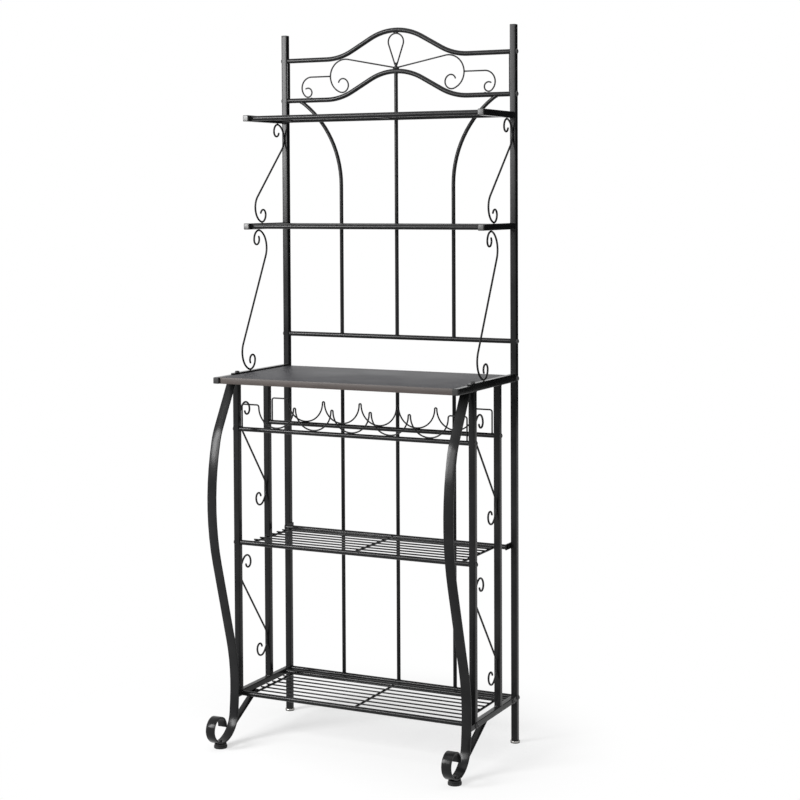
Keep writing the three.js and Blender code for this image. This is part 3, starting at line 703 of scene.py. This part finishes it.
def welded_rod(solid, x, low, high):
    """An upright rod between the middles of two rails, with its beads."""
    foot = Vector((x, back, low))
    head = Vector((x, back, high))
    rod(solid, foot, head, rod_radius, rod_sides)
    saddle_bead(solid, foot, east, upward, rail_radius, rod_radius)
    saddle_bead(solid, head, east, -upward, rail_radius, rod_radius)


panel = Solid()
for z in panel_rails:
    welded_rail(panel, 0, z)
for x in (-rod_spacing, 0, rod_spacing):
    welded_rod(panel, x, *panel_rails)
steel("lower_back_panel_weldment", panel, "lower_back_panel")

# Wine rack: a front and a rear tube, each with one wire along its top that is bent into five cradles between
# narrow hairpins. The wire's ends turn down and are welded to the tube.
wine_tube_radius = 6 * mm
hairpin_radius = 3 * mm
wine_corner_radius = 6 * mm
wine_shoulder = 38 * mm
wine_wire_inset = 7 * mm
cradle_tack = 9 * mm
bottle_count = 5
wine_wire_end = inner_face - wine_wire_inset
bottle_pitch = 2 * (wine_wire_end - wine_shoulder - 2 * wine_corner_radius + hairpin_radius) / bottle_count
cradle_radius = bottle_pitch / 2 - hairpin_radius


def across_plane(points, y=0, side=1):
    return [Vector((side * point.x, back + y, point.y)) for point in points]


wine_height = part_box("wine_rack_front")[0].z + wine_tube_radius
cradle_rise = wine_tube_radius + fine_radius - weld_bite + cradle_radius
wine_line = BentLine((-wine_wire_end, wine_height), 90)
wine_line.straight(cradle_rise).arc(wine_corner_radius, -90)
wine_line.straight(wine_shoulder).arc(wine_corner_radius, -90).arc(cradle_radius, 180)
for i in range(bottle_count - 1):
    wine_line.arc(hairpin_radius, -180).arc(cradle_radius, 180)
wine_line.arc(wine_corner_radius, -90).straight(wine_shoulder).arc(wine_corner_radius, -90)
wine_line.straight(cradle_rise)

for wine_name, offset in zip(("wine_rack_front", "wine_rack_rear"), post_offsets):
    wine = Solid()
    welded_rail(wine, -offset, wine_height, wine_tube_radius)
    sweep(wine, across_plane(wine_line.points, -offset), north, round_outline(fine_radius, fine_sides))
    for x in (-wine_wire_end, wine_wire_end):
        foot = Vector((x, back - offset, wine_height))
        saddle_bead(wine, foot, east, upward, wine_tube_radius, fine_radius, fine_bead_radius)
    for i in range(bottle_count):
        x = bottle_pitch * (i - (bottle_count - 1) / 2)
        tack(wine, Vector((x, back - offset, wine_height + wine_tube_radius)), east, cradle_tack)
    steel(f"{wine_name}_weldment", wine, wine_name)

# Worktop: a chipboard panel with a charcoal laminate, faintly grained along its length, and a warmer grey band
# glued to its front edge. It drops in between the two square side rails.
board_low, board_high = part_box("worktop_board")
board_edge = 0.7 * mm
band_thickness = 0.5 * mm
band_edge = 0.2 * mm
streak_scales = (5, 150, 150)
streak_detail = 6
streak_distortion = 0.6
streak_low = 0.35
streak_high = 0.7
streak_share = 0.55
streak_relief = 0.04 * mm


def laminate_grain_group():
    """Printed wood grain: long streaks along x that shift the tone and stand up a little."""
    group, given = node_group("laminate_grain", {
        "Colour": (0, 0, 0, 1), "Streak Colour": (1, 1, 1, 1), "Share": 0.5,
    }, {"Colour": (0, 0, 0, 1), "Height": 0})
    place = add_node(group, "ShaderNodeTexCoord")["Object"]
    stretched = add_node(group, "ShaderNodeMapping", {"Vector": place, "Scale": streak_scales})["Vector"]
    streaks = add_node(group, "ShaderNodeTexNoise", {
        "Vector": stretched, "Scale": 1, "Detail": streak_detail, "Distortion": streak_distortion,
    })["Fac"]
    contrast = add_node(group, "ShaderNodeMapRange", {
        "Value": streaks, "From Min": streak_low, "From Max": streak_high,
    })["Result"]
    amount = add_node(group, "ShaderNodeMath", {0: contrast, 1: given["Share"]}, operation="MULTIPLY")["Value"]
    tone = add_node(group, "ShaderNodeMix", {
        "Factor": amount, "A": given["Colour"], "B": given["Streak Colour"],
    }, data_type="RGBA")["Result"]
    add_node(group, "NodeGroupOutput", {"Colour": tone, "Height": contrast})
    return group


laminate_grain = laminate_grain_group()


def laminate_material(name, dark, light, streak, roughness, specular):
    material = satin_material(
        name, dark, light, roughness, patches=9, grains=1400, relief=0.01 * mm, specular=specular,
    )
    tree = material.node_tree
    grain = add_node(tree, "ShaderNodeGroup", {
        "Colour": tree.nodes["surface"].outputs["Colour"], "Streak Colour": (*streak, 1), "Share": streak_share,
    }, node_tree=laminate_grain)
    coarse = add_node(tree, "ShaderNodeBump", {"Distance": streak_relief, "Height": grain["Height"]})
    feed(tree.nodes["Principled BSDF"], {"Base Color": grain["Colour"]})
    feed(tree.nodes["grain"], {"Normal": coarse["Normal"]})
    return material


worktop_laminate = laminate_material(
    "worktop_laminate", (0.020, 0.020, 0.024), (0.027, 0.027, 0.031), streak=(0.016, 0.016, 0.019),
    roughness=(0.40, 0.48), specular=0.14,
)
edge_banding = laminate_material(
    "edge_banding", (0.036, 0.028, 0.025), (0.048, 0.038, 0.034), streak=(0.026, 0.021, 0.019),
    roughness=(0.36, 0.46), specular=0.3,
)


def slab(name, low, high, corner, material, nodes=()):
    """A slab that runs along x, with its long edges eased."""
    solid = Solid()
    size = high - low
    middle = (low + high) / 2
    outline = rounded_square(size.y, size.z, corner, edge_steps)
    eased = rounded_square(size.y - 2 * corner, size.z - 2 * corner, corner / 4, edge_steps)
    sections = ((low.x, eased), (low.x + corner, outline), (high.x - corner, outline), (high.x, eased))
    solid.stack(Vector((0, middle.y, middle.z)), east, north, upward, sections)
    make_piece(name, solid, material, nodes=nodes)


panel_front = board_low + Vector((0, band_thickness, 0))
band_back = Vector((board_high.x, board_low.y + band_thickness, board_high.z))
slab("worktop_panel", panel_front, board_high, board_edge, worktop_laminate, ["worktop_board"])
slab("worktop_edge_band", board_low, band_back, band_edge, edge_banding)

# Hutch bars: a flat bar on each of the worktop's side rails, rounded at the front and bolted down there with a
# hex bolt on a washer. The lower hutch scrolls are welded to it.
bar_width = 12.7 * mm
bar_edge = 0.6 * mm
bar_end_steps = 12
bar_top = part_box("hutch_bar_left")[1].z
bolt_offset = 260 * mm
hex_radius = 5.8 * mm
hex_height = 4 * mm
hex_shoulder = 0.85 * hex_height
hex_top_radius = 0.88 * hex_radius
hex_face = ((0.8 * hex_radius, 0.9 * hex_height), (0.76 * hex_radius, hex_height))
hex_face_sides = 24
washer_radius = 6.2 * mm
washer_thickness = 0.8 * mm
washer_rim = 0.2 * mm
washer_sides = 32

black_fastener = satin_material(
    "black_fastener", (0.010, 0.010, 0.011), (0.022, 0.022, 0.023), roughness=(0.24, 0.36),
    patches=200, grains=1800, relief=0.01 * mm,
)


def bar_outline(inset):
    """A flat bar's outline seen from above: square at the upright and round at its free end."""
    half = bar_width / 2
    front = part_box("hutch_bar_left")[0].y + half
    rear = back + upright_front
    outline = [(half - inset, rear - inset), (-half + inset, rear - inset)]
    for i in range(bar_end_steps + 1):
        angle = math.radians(180 + 180 * i / bar_end_steps)
        outline.append(((half - inset) * math.cos(angle), front + (half - inset) * math.sin(angle)))
    return outline


for side_name, side in sides.items():
    bar = Solid()
    middle = Vector((side * side_middle, 0, 0))
    edges = ((table_top, bar_edge), (table_top + bar_edge, 0), (bar_top - bar_edge, 0), (bar_top, bar_edge))
    bar.stack(middle, upward, east, north, [(height, bar_outline(inset)) for height, inset in edges])
    steel(f"hutch_bar_{side_name}_flat", bar, f"hutch_bar_{side_name}")

    bolt = Solid()
    node = f"hutch_bar_bolt_{side_name}"
    place = Vector((side * side_middle, back - bolt_offset, bar_top))
    head = [(hex_radius, washer_thickness), (hex_radius, hex_shoulder), (hex_top_radius, hex_height)]
    disc(bolt, place, washer_radius, 0, washer_thickness, washer_rim, washer_sides)
    turned(bolt, place, upward, head, 6)
    turned(bolt, place, upward, hex_face, hex_face_sides)
    make_piece(f"{node}_head", bolt, black_fastener, nodes=[node])

# Crown: an upper and a lower round rail, each bent up into a bell-shaped arch and level beyond it, between the
# uprights. A short flat bar joins their ends at each side.
crown_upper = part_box("crown_end_bar_left")[1].z + rail_radius + seat
crown_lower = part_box("crown_end_bar_left")[0].z - rail_radius - seat
end_bar_edge = 0.7 * mm
bell_half_span = 205 * mm
bell_rise = 69 * mm
bell_radius = 155 * mm
bell_fall = 2 * bell_radius - bell_rise
bell_straight = math.sqrt(bell_half_span ** 2 + bell_fall ** 2 - (2 * bell_radius) ** 2)
bell_turn = math.degrees(
    math.atan2(bell_half_span, bell_fall) - math.atan2(bell_straight, 2 * bell_radius)
)


def bell_line(height):
    level = inner_face - seat - bell_half_span
    line = BentLine((-inner_face + seat, height), 0)
    line.straight(level).arc(bell_radius, bell_turn).straight(bell_straight).arc(bell_radius, -2 * bell_turn)
    return line.straight(bell_straight).arc(bell_radius, bell_turn).straight(level)


for level, height in (("upper", crown_upper), ("lower", crown_lower)):
    rail = Solid()
    sweep(rail, across_plane(bell_line(height).points), north, round_outline(rail_radius, rail_sides))
    end_beads(rail, 0, height)
    steel(f"crown_rail_{level}_tube", rail, f"crown_rail_{level}")

for side_name in sides:
    node = f"crown_end_bar_{side_name}"
    low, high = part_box(node)
    middle = Vector(((low.x + high.x) / 2, (low.y + high.y) / 2, 0))
    bar = Solid()
    section = rounded_square(high.x - low.x, high.y - low.y, end_bar_edge, edge_steps)
    bar.stack(middle, upward, east, north, ((low.z - seat, section), (high.z + seat, section)))
    steel(f"{node}_flat", bar, node)

# Crown scrollwork: fine wire between the two arches, a drop loop in the middle, and on each side a large C
# scroll and a small one that grows out of it. The drop and the large scrolls meet in one round weld on the
# lower arch.
drop_inset = 7.2 * mm
drop_radius = 22 * mm
big_inset = 3 * mm
big_offset = 150 * mm
big_radius = 44.5 * mm
big_end_angle = -69
big_curl_radius = 18.5 * mm
big_curl_turn = 180
big_tip_radius = 13 * mm
big_tip_turn = 95
small_gap = 40 * mm
small_radius = 28.5 * mm
small_end_angle = -50
small_curl_radius = 12 * mm
small_curl_turn = 250
end_bar_thickness = 3 * mm
small_offset = inner_face - end_bar_thickness - small_gap - small_radius
stub_bead_radius = 0.6 * mm
stub_bead_steps = 18
small_tack = 7 * mm
lower_weld_length = 19 * mm
lower_weld_radius = 4.8 * mm
leg_weld_radius = 3.6 * mm
upper_weld_length = 15 * mm
upper_weld_radius = 2.6 * mm

wire_seat = rail_radius + seat + fine_radius
weld_point = Vector((0, crown_lower + bell_rise + wire_seat))
drop_distance = crown_upper + bell_rise - wire_seat - drop_radius - weld_point.y
drop_spread = math.degrees(math.asin(drop_radius / drop_distance))
drop_leg = math.sqrt(drop_distance ** 2 - drop_radius ** 2)
drop_line = BentLine(weld_point, 90 - drop_spread)
drop_line.straight(drop_inset).straight(drop_leg - drop_inset)
drop_line.arc(drop_radius, 180 + 2 * drop_spread).straight(drop_leg - drop_inset)

big_drop = math.sqrt((bell_radius + wire_seat + big_radius) ** 2 - (bell_half_span - big_offset) ** 2)
big_middle = Vector((big_offset, crown_upper + bell_radius - big_drop))
big_distance = (big_middle - weld_point).length
big_heading = math.degrees(
    math.atan2(big_middle.y - weld_point.y, big_middle.x) + math.asin(big_radius / big_distance)
)
big_line = BentLine(weld_point, big_heading)
big_line.straight(big_inset).straight(math.sqrt(big_distance ** 2 - big_radius ** 2) - big_inset)
big_line.arc(big_radius, big_end_angle - 90 - big_heading)
big_line.arc(big_curl_radius, -big_curl_turn).arc(big_tip_radius, -big_tip_turn)

small_drop = math.sin(math.radians(-small_end_angle)) * (small_radius - small_curl_radius)
stub_height = crown_lower + wire_seat + small_curl_radius + small_drop + small_radius
stub_start = big_offset + big_radius
small_line = BentLine((stub_start, stub_height), 0)
small_line.straight(small_offset - stub_start).arc(small_radius, small_end_angle - 90)
small_line.arc(small_curl_radius, -small_curl_turn)

ornament = Solid()
fine_outline = round_outline(fine_radius, fine_sides)
stub_outline = round_outline(fine_radius, stub_bead_steps)
sweep(ornament, across_plane(drop_line.points[1:]), north, fine_outline)
for side in sides.values():
    for line in (big_line.points[1:], small_line.points):
        sweep(ornament, across_plane(line, 0, side), north, fine_outline, tip=fine_radius)
    stub = Vector((side * stub_start, back, stub_height)) + east * side * fine_radius
    bead(ornament, ring(stub, north, upward, stub_outline), stub_bead_radius)
    tack(ornament, Vector((side * small_offset, back, crown_lower + rail_radius)), east, small_tack)
lower_arch_top = crown_lower + bell_rise + rail_radius
upper_arch_underside = crown_upper + bell_rise - rail_radius
for height, along, length, radius in (
    (lower_arch_top + fine_radius, east, lower_weld_length, lower_weld_radius),
    (lower_arch_top + drop_inset, upward, lower_weld_length, leg_weld_radius),
    (upper_arch_underside, east, upper_weld_length, upper_weld_radius),
):
    tack(ornament, Vector((0, back, height)), along, length, radius)
steel("crown_ornament_weldment", ornament, "crown_ornament")

# Back of the hutch: a straight rail bolted between the uprights just over the worktop, a rod from its middle to
# the top of the arch, and a rod on each side that flares outward to the crown's level part.
hutch_rail_height = (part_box("hutch_rail")[0].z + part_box("hutch_rail")[1].z) / 2
flare_height = 1430 * mm
flare_radius = 270 * mm
flare_turn = math.degrees(math.asin((crown_lower - flare_height) / flare_radius))
flare_line = BentLine((rod_spacing, hutch_rail_height), 90)
flare_line.straight(flare_height - hutch_rail_height).arc(flare_radius, -flare_turn)

hutch_rail = Solid()
welded_rail(hutch_rail, 0, hutch_rail_height)
steel("hutch_rail_tube", hutch_rail, "hutch_rail")

middle_rod = Solid()
welded_rod(middle_rod, 0, hutch_rail_height, crown_lower + bell_rise)
steel("back_rod_middle_bar", middle_rod, "back_rod_middle")

for side_name, side in sides.items():
    flared = Solid()
    path = across_plane(flare_line.points, 0, side)
    sweep(flared, path, north, round_outline(rod_radius, rod_sides))
    saddle_bead(flared, path[0], east, upward, rail_radius, rod_radius)
    lean = (path[-2] - path[-1]).normalized()
    saddle_bead(flared, path[-1], north.cross(lean), lean, rail_radius, rod_radius)
    steel(f"back_rod_{side_name}_bar", flared, f"back_rod_{side_name}")

# Hutch shelves: two square side rails welded to the uprights, with a front and a rear rod between them and the
# same grid of cross rods and fine wires as the shelves below.
hutch_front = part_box("top_shelf")[0].y - back
hutch_rod_inset = 14 * mm
hutch_front_rod = hutch_front + hutch_rod_inset
for shelf_name in ("top_shelf", "hutch_shelf"):
    plug_low, plug_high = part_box(f"{shelf_name}_plug_left")
    height = (plug_low.z + plug_high.z) / 2
    shelf = Solid()
    for side in sides.values():
        front_end = Vector((side * side_middle, back + hutch_front, height))
        rear_end = Vector((side * side_middle, back + upright_front, height))
        square_tube(shelf, front_end, rear_end, east)
        square_bead(shelf, rear_end - north * seat, upward, east)
    for y in (hutch_front_rod, -rear_rod_offset):
        welded_rail(shelf, y, height, half=inner_face + weld_bite)
    wire_grid(shelf, hutch_front_rod, -rear_rod_offset, height)
    steel(f"{shelf_name}_weldment", shelf, shelf_name)

# Hutch scrolls: an S of round wire on each side between the two shelves, and a taller one between the lower
# shelf and the flat bar on the worktop. Each touches above and below, where it is tacked.
upper_scroll_depth = 152.2 * mm
lower_scroll_depth = 127.4 * mm
upper_scroll_shape = {
    "bulge": 39 * mm, "curl": 19 * mm, "tip": 13 * mm, "change": 75, "curl_turn": 105, "tip_turn": 160,
}
lower_scroll_shape = {
    "bulge": 48 * mm, "curl": 24 * mm, "tip": 13 * mm, "change": 70, "curl_turn": 110, "tip_turn": 215,
}
for level, depth, shape in (
    ("upper", upper_scroll_depth, upper_scroll_shape), ("lower", lower_scroll_depth, lower_scroll_shape),
):
    for side_name, side in sides.items():
        node = f"hutch_scroll_{level}_{side_name}"
        low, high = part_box(node)
        points = s_curve(depth, high.z - low.z - 2 * scroll_radius, 1, **shape)
        scroll_piece(node, side, points, 1)

# Plugs and caps: pressed black plastic plugs close the front ends of the shelves' and the worktop's rails, and
# a flat cap closes each upright. The shelves' plugs shine a little more than the rest.
plug_depth = 10 * mm
plug_clearance = 0.4 * mm
plug_bevel = 2 * mm
cap_bevel = 1.5 * mm
bevel_steps = 5
plug_plastic = satin_material(
    "plug_plastic", (0.010, 0.010, 0.010), (0.018, 0.018, 0.017), roughness=(0.26, 0.38),
    patches=70, grains=1500, relief=0.01 * mm, specular=0.45,
)


def plug_piece(node, place, axis, head, bevel, material):
    """A plug's spigot inside the tube and its softly rounded head outside it."""
    solid = Solid()
    out = axis.cross(east)
    spigot = tube_size - 2 * (tube_wall + plug_clearance)
    inside = rounded_square(spigot, spigot, tube_corner - tube_wall)
    solid.stack(place, axis, east, out, ((-plug_depth, inside), (head / 2, inside)))
    layers = [(0, tube_outline)]
    for i in range(bevel_steps + 1):
        angle = math.radians(90 * i / bevel_steps)
        inset = bevel * (1 - math.cos(angle))
        size = tube_size - 2 * inset
        face = rounded_square(size, size, max(tube_corner - inset, bevel / 4))
        layers.append((head - bevel + bevel * math.sin(angle), face))
    solid.stack(place, axis, east, out, layers)
    make_piece(f"{node}_moulding", solid, material, nodes=[node])


for side_name, side in sides.items():
    for node, material in (
        (f"top_shelf_plug_{side_name}", plug_plastic),
        (f"hutch_shelf_plug_{side_name}", plug_plastic),
        (f"table_plug_{side_name}", black_plastic),
    ):
        low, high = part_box(node)
        place = Vector((side * side_middle, high.y - plug_depth, (low.z + high.z) / 2))
        plug_piece(node, place, -north, place.y - low.y, plug_bevel, material)
    node = f"upright_cap_{side_name}"
    place = Vector((side * side_middle, back, upright_high.z))
    plug_piece(node, place, upward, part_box(node)[1].z - place.z, cap_bevel, black_plastic)

# Bolts: dome-headed socket screws through the uprights into the rails' ends, and through the side frames into
# the wine rack, the shelves and the bottom rails. Black, like the steel.
dome_radius = 7 * mm
dome_height = 4.3 * mm
dome_turn = 78
dome_steps = 6
socket_radius = 2.2 * mm
socket_depth = 1.8 * mm
socket_margin = 1.35
head_sides = 36
shelf_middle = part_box("middle_shelf")[0].z + tab_height / 2


def screw_piece(name, side, y, z, nodes=()):
    """A screw's head on the outer face at one side: a dome with a hexagon socket in its top."""
    place = Vector((side * outer_face, back + y, z))
    axis = east * side
    across = axis.orthogonal().normalized()
    layers = [(-seat, round_outline(dome_radius, head_sides))]
    for i in range(dome_steps + 1):
        angle = math.radians(dome_turn * i / dome_steps)
        radius = dome_radius * math.cos(angle)
        if radius > socket_radius * socket_margin:
            layers.append((dome_height * math.sin(angle), round_outline(radius, head_sides)))
    socket = []
    for k in range(head_sides):
        angle = 2 * math.pi * k / head_sides
        turn = (angle + math.pi / 6) % (math.pi / 3) - math.pi / 6
        radius = socket_radius / math.cos(turn)
        socket.append((radius * math.cos(angle), radius * math.sin(angle)))
    layers += [(dome_height, socket), (dome_height - socket_depth, socket)]
    screw = Solid()
    screw.stack(place, axis, across, axis.cross(across), layers)
    make_piece(name, screw, black_fastener, nodes=nodes)


for side_name, side in sides.items():
    for name, y, z in (
        ("crown_upper", 0, crown_upper),
        ("crown_lower", 0, crown_lower),
        ("panel_top", 0, panel_rails[1]),
        ("panel_bottom", 0, panel_rails[0]),
        ("wine_front", -post_offsets[0], wine_height),
        ("wine_rear", -post_offsets[1], wine_height),
        ("middle_shelf_front", -post_offsets[0], shelf_middle),
        ("bottom_shelf_front", -post_offsets[0], bottom_rail_middle),
        ("bottom_shelf_rear", -rear_rod_offset, bottom_rail_middle),
    ):
        screw_piece(f"{name}_screw_{side_name}", side, y, z)
    node = f"hutch_rail_bolt_{side_name}"
    screw_piece(f"{node}_head", side, 0, hutch_rail_height, [node])

# Floor and surroundings: a plain white floor that keeps a faint shadow, under a plain white room. The shadow
# fades out away from the rack.
floor_size = 30
floor_middle = Vector((-0.12, 0, 0))
floor_colour = (0.86, 0.86, 0.86, 1)
floor_clear = 0.34
floor_fade = 0.8
floor_shadow_share = 0.45
ambient_strength = 0.4


def flat_sheet(name, aside, rise, material, middle=Vector()):
    """A flat rectangle of the studio, with half its width and half its height given."""
    mesh = bpy.data.meshes.new(name)
    corners = [middle + aside * a + rise * b for a, b in ((-1, -1), (1, -1), (1, 1), (-1, 1))]
    mesh.from_pydata(corners, [], [(0, 1, 2, 3)])
    mesh.materials.append(material)
    sheet = bpy.data.objects.new(name, mesh)
    bpy.context.scene.collection.objects.link(sheet)
    return sheet


def seen_plainly(tree):
    """A value that is 1 where the camera looks straight, by a mirror or through glass, and 0 elsewhere."""
    ray = add_node(tree, "ShaderNodeLightPath")
    seen = ray["Is Camera Ray"]
    for way in ("Is Glossy Ray", "Is Transmission Ray"):
        seen = add_node(tree, "ShaderNodeMath", {0: seen, 1: ray[way]}, operation="MAXIMUM")["Value"]
    return seen


floor_white = bpy.data.materials.new("floor_white")
floor_white.use_nodes = True
tree = floor_white.node_tree
tree.nodes.clear()
place = add_node(tree, "ShaderNodeTexCoord")["Object"]
distance = add_node(tree, "ShaderNodeVectorMath", {0: place}, operation="LENGTH")["Value"]
fade = add_node(tree, "ShaderNodeMapRange", {
    "Value": distance, "From Min": floor_clear, "From Max": floor_fade,
    "To Min": 1 - floor_shadow_share, "To Max": 1,
}, interpolation_type="SMOOTHSTEP")["Result"]
share = add_node(tree, "ShaderNodeMath", {0: fade, 1: seen_plainly(tree)}, operation="MULTIPLY")["Value"]
paint = add_node(tree, "ShaderNodeBsdfDiffuse", {"Color": floor_colour})["BSDF"]
white = add_node(tree, "ShaderNodeEmission")["Emission"]
mixed = add_node(tree, "ShaderNodeMixShader", {"Fac": share, 1: paint, 2: white})["Shader"]
add_node(tree, "ShaderNodeOutputMaterial", {"Surface": mixed})
floor = flat_sheet("floor", east * floor_size / 2, north * floor_size / 2, floor_white)
floor.location = floor_middle

world = bpy.data.worlds.new("surroundings")
bpy.context.scene.world = world
world.use_nodes = True
tree = world.node_tree
strength = add_node(tree, "ShaderNodeMapRange", {
    "Value": seen_plainly(tree), "To Min": ambient_strength, "To Max": 1,
})["Result"]
feed(tree.nodes["Background"], {"Color": (1, 1, 1, 1), "Strength": strength})

# Dark cloth: a black cloth that hangs to the rear right, out of the picture. Only faces that shine toward the
# camera's right see it, and it keeps them as dark as a wall behind the camera would.
cloth_middle = Vector((1.0, 1.75, 1.75))
cloth_width = 2.6
cloth_height = 2.3
cloth_black = satin_material(
    "cloth_black", (0.002, 0.002, 0.002), (0.004, 0.004, 0.004), roughness=(0.9, 1.0),
    patches=30, grains=900, relief=0.05 * mm, specular=0.02,
)
facing = (Vector((0, 0, cloth_middle.z)) - cloth_middle).normalized()
aside = facing.cross(upward) * cloth_width / 2
dark_cloth = flat_sheet("dark_cloth", aside, upward * cloth_height / 2, cloth_black, cloth_middle)
dark_cloth.visible_camera = False
dark_cloth.visible_diffuse = False
dark_cloth.visible_shadow = False


# Lamps: a tall soft light stands to the front left with a weaker one beside it, and a broad one hangs
# overhead. The camera doesn't see them.
def soft_light(name, place, target, width, height, power):
    lamp = bpy.data.lights.new(name, "AREA")
    lamp.shape = "RECTANGLE"
    lamp.size = width
    lamp.size_y = height
    lamp.energy = power
    light = bpy.data.objects.new(name, lamp)
    light.location = place
    light.rotation_euler = (Vector(target) - Vector(place)).to_track_quat("-Z", "Y").to_euler()
    light.visible_camera = False
    bpy.context.scene.collection.objects.link(light)


soft_light("front_left_light", (-2.1, -2.75, 2.25), (-0.2, 0.2, 1.35), width=0.9, height=1.8, power=156)
soft_light("front_light", (-1.15, -3.2, 2.2), (0.1, 0.1, 1.3), width=1.1, height=1.6, power=58)
soft_light("overhead_light", (0.1, -0.5, 3.4), (0, 0, 0.9), width=2.4, height=2.0, power=20)
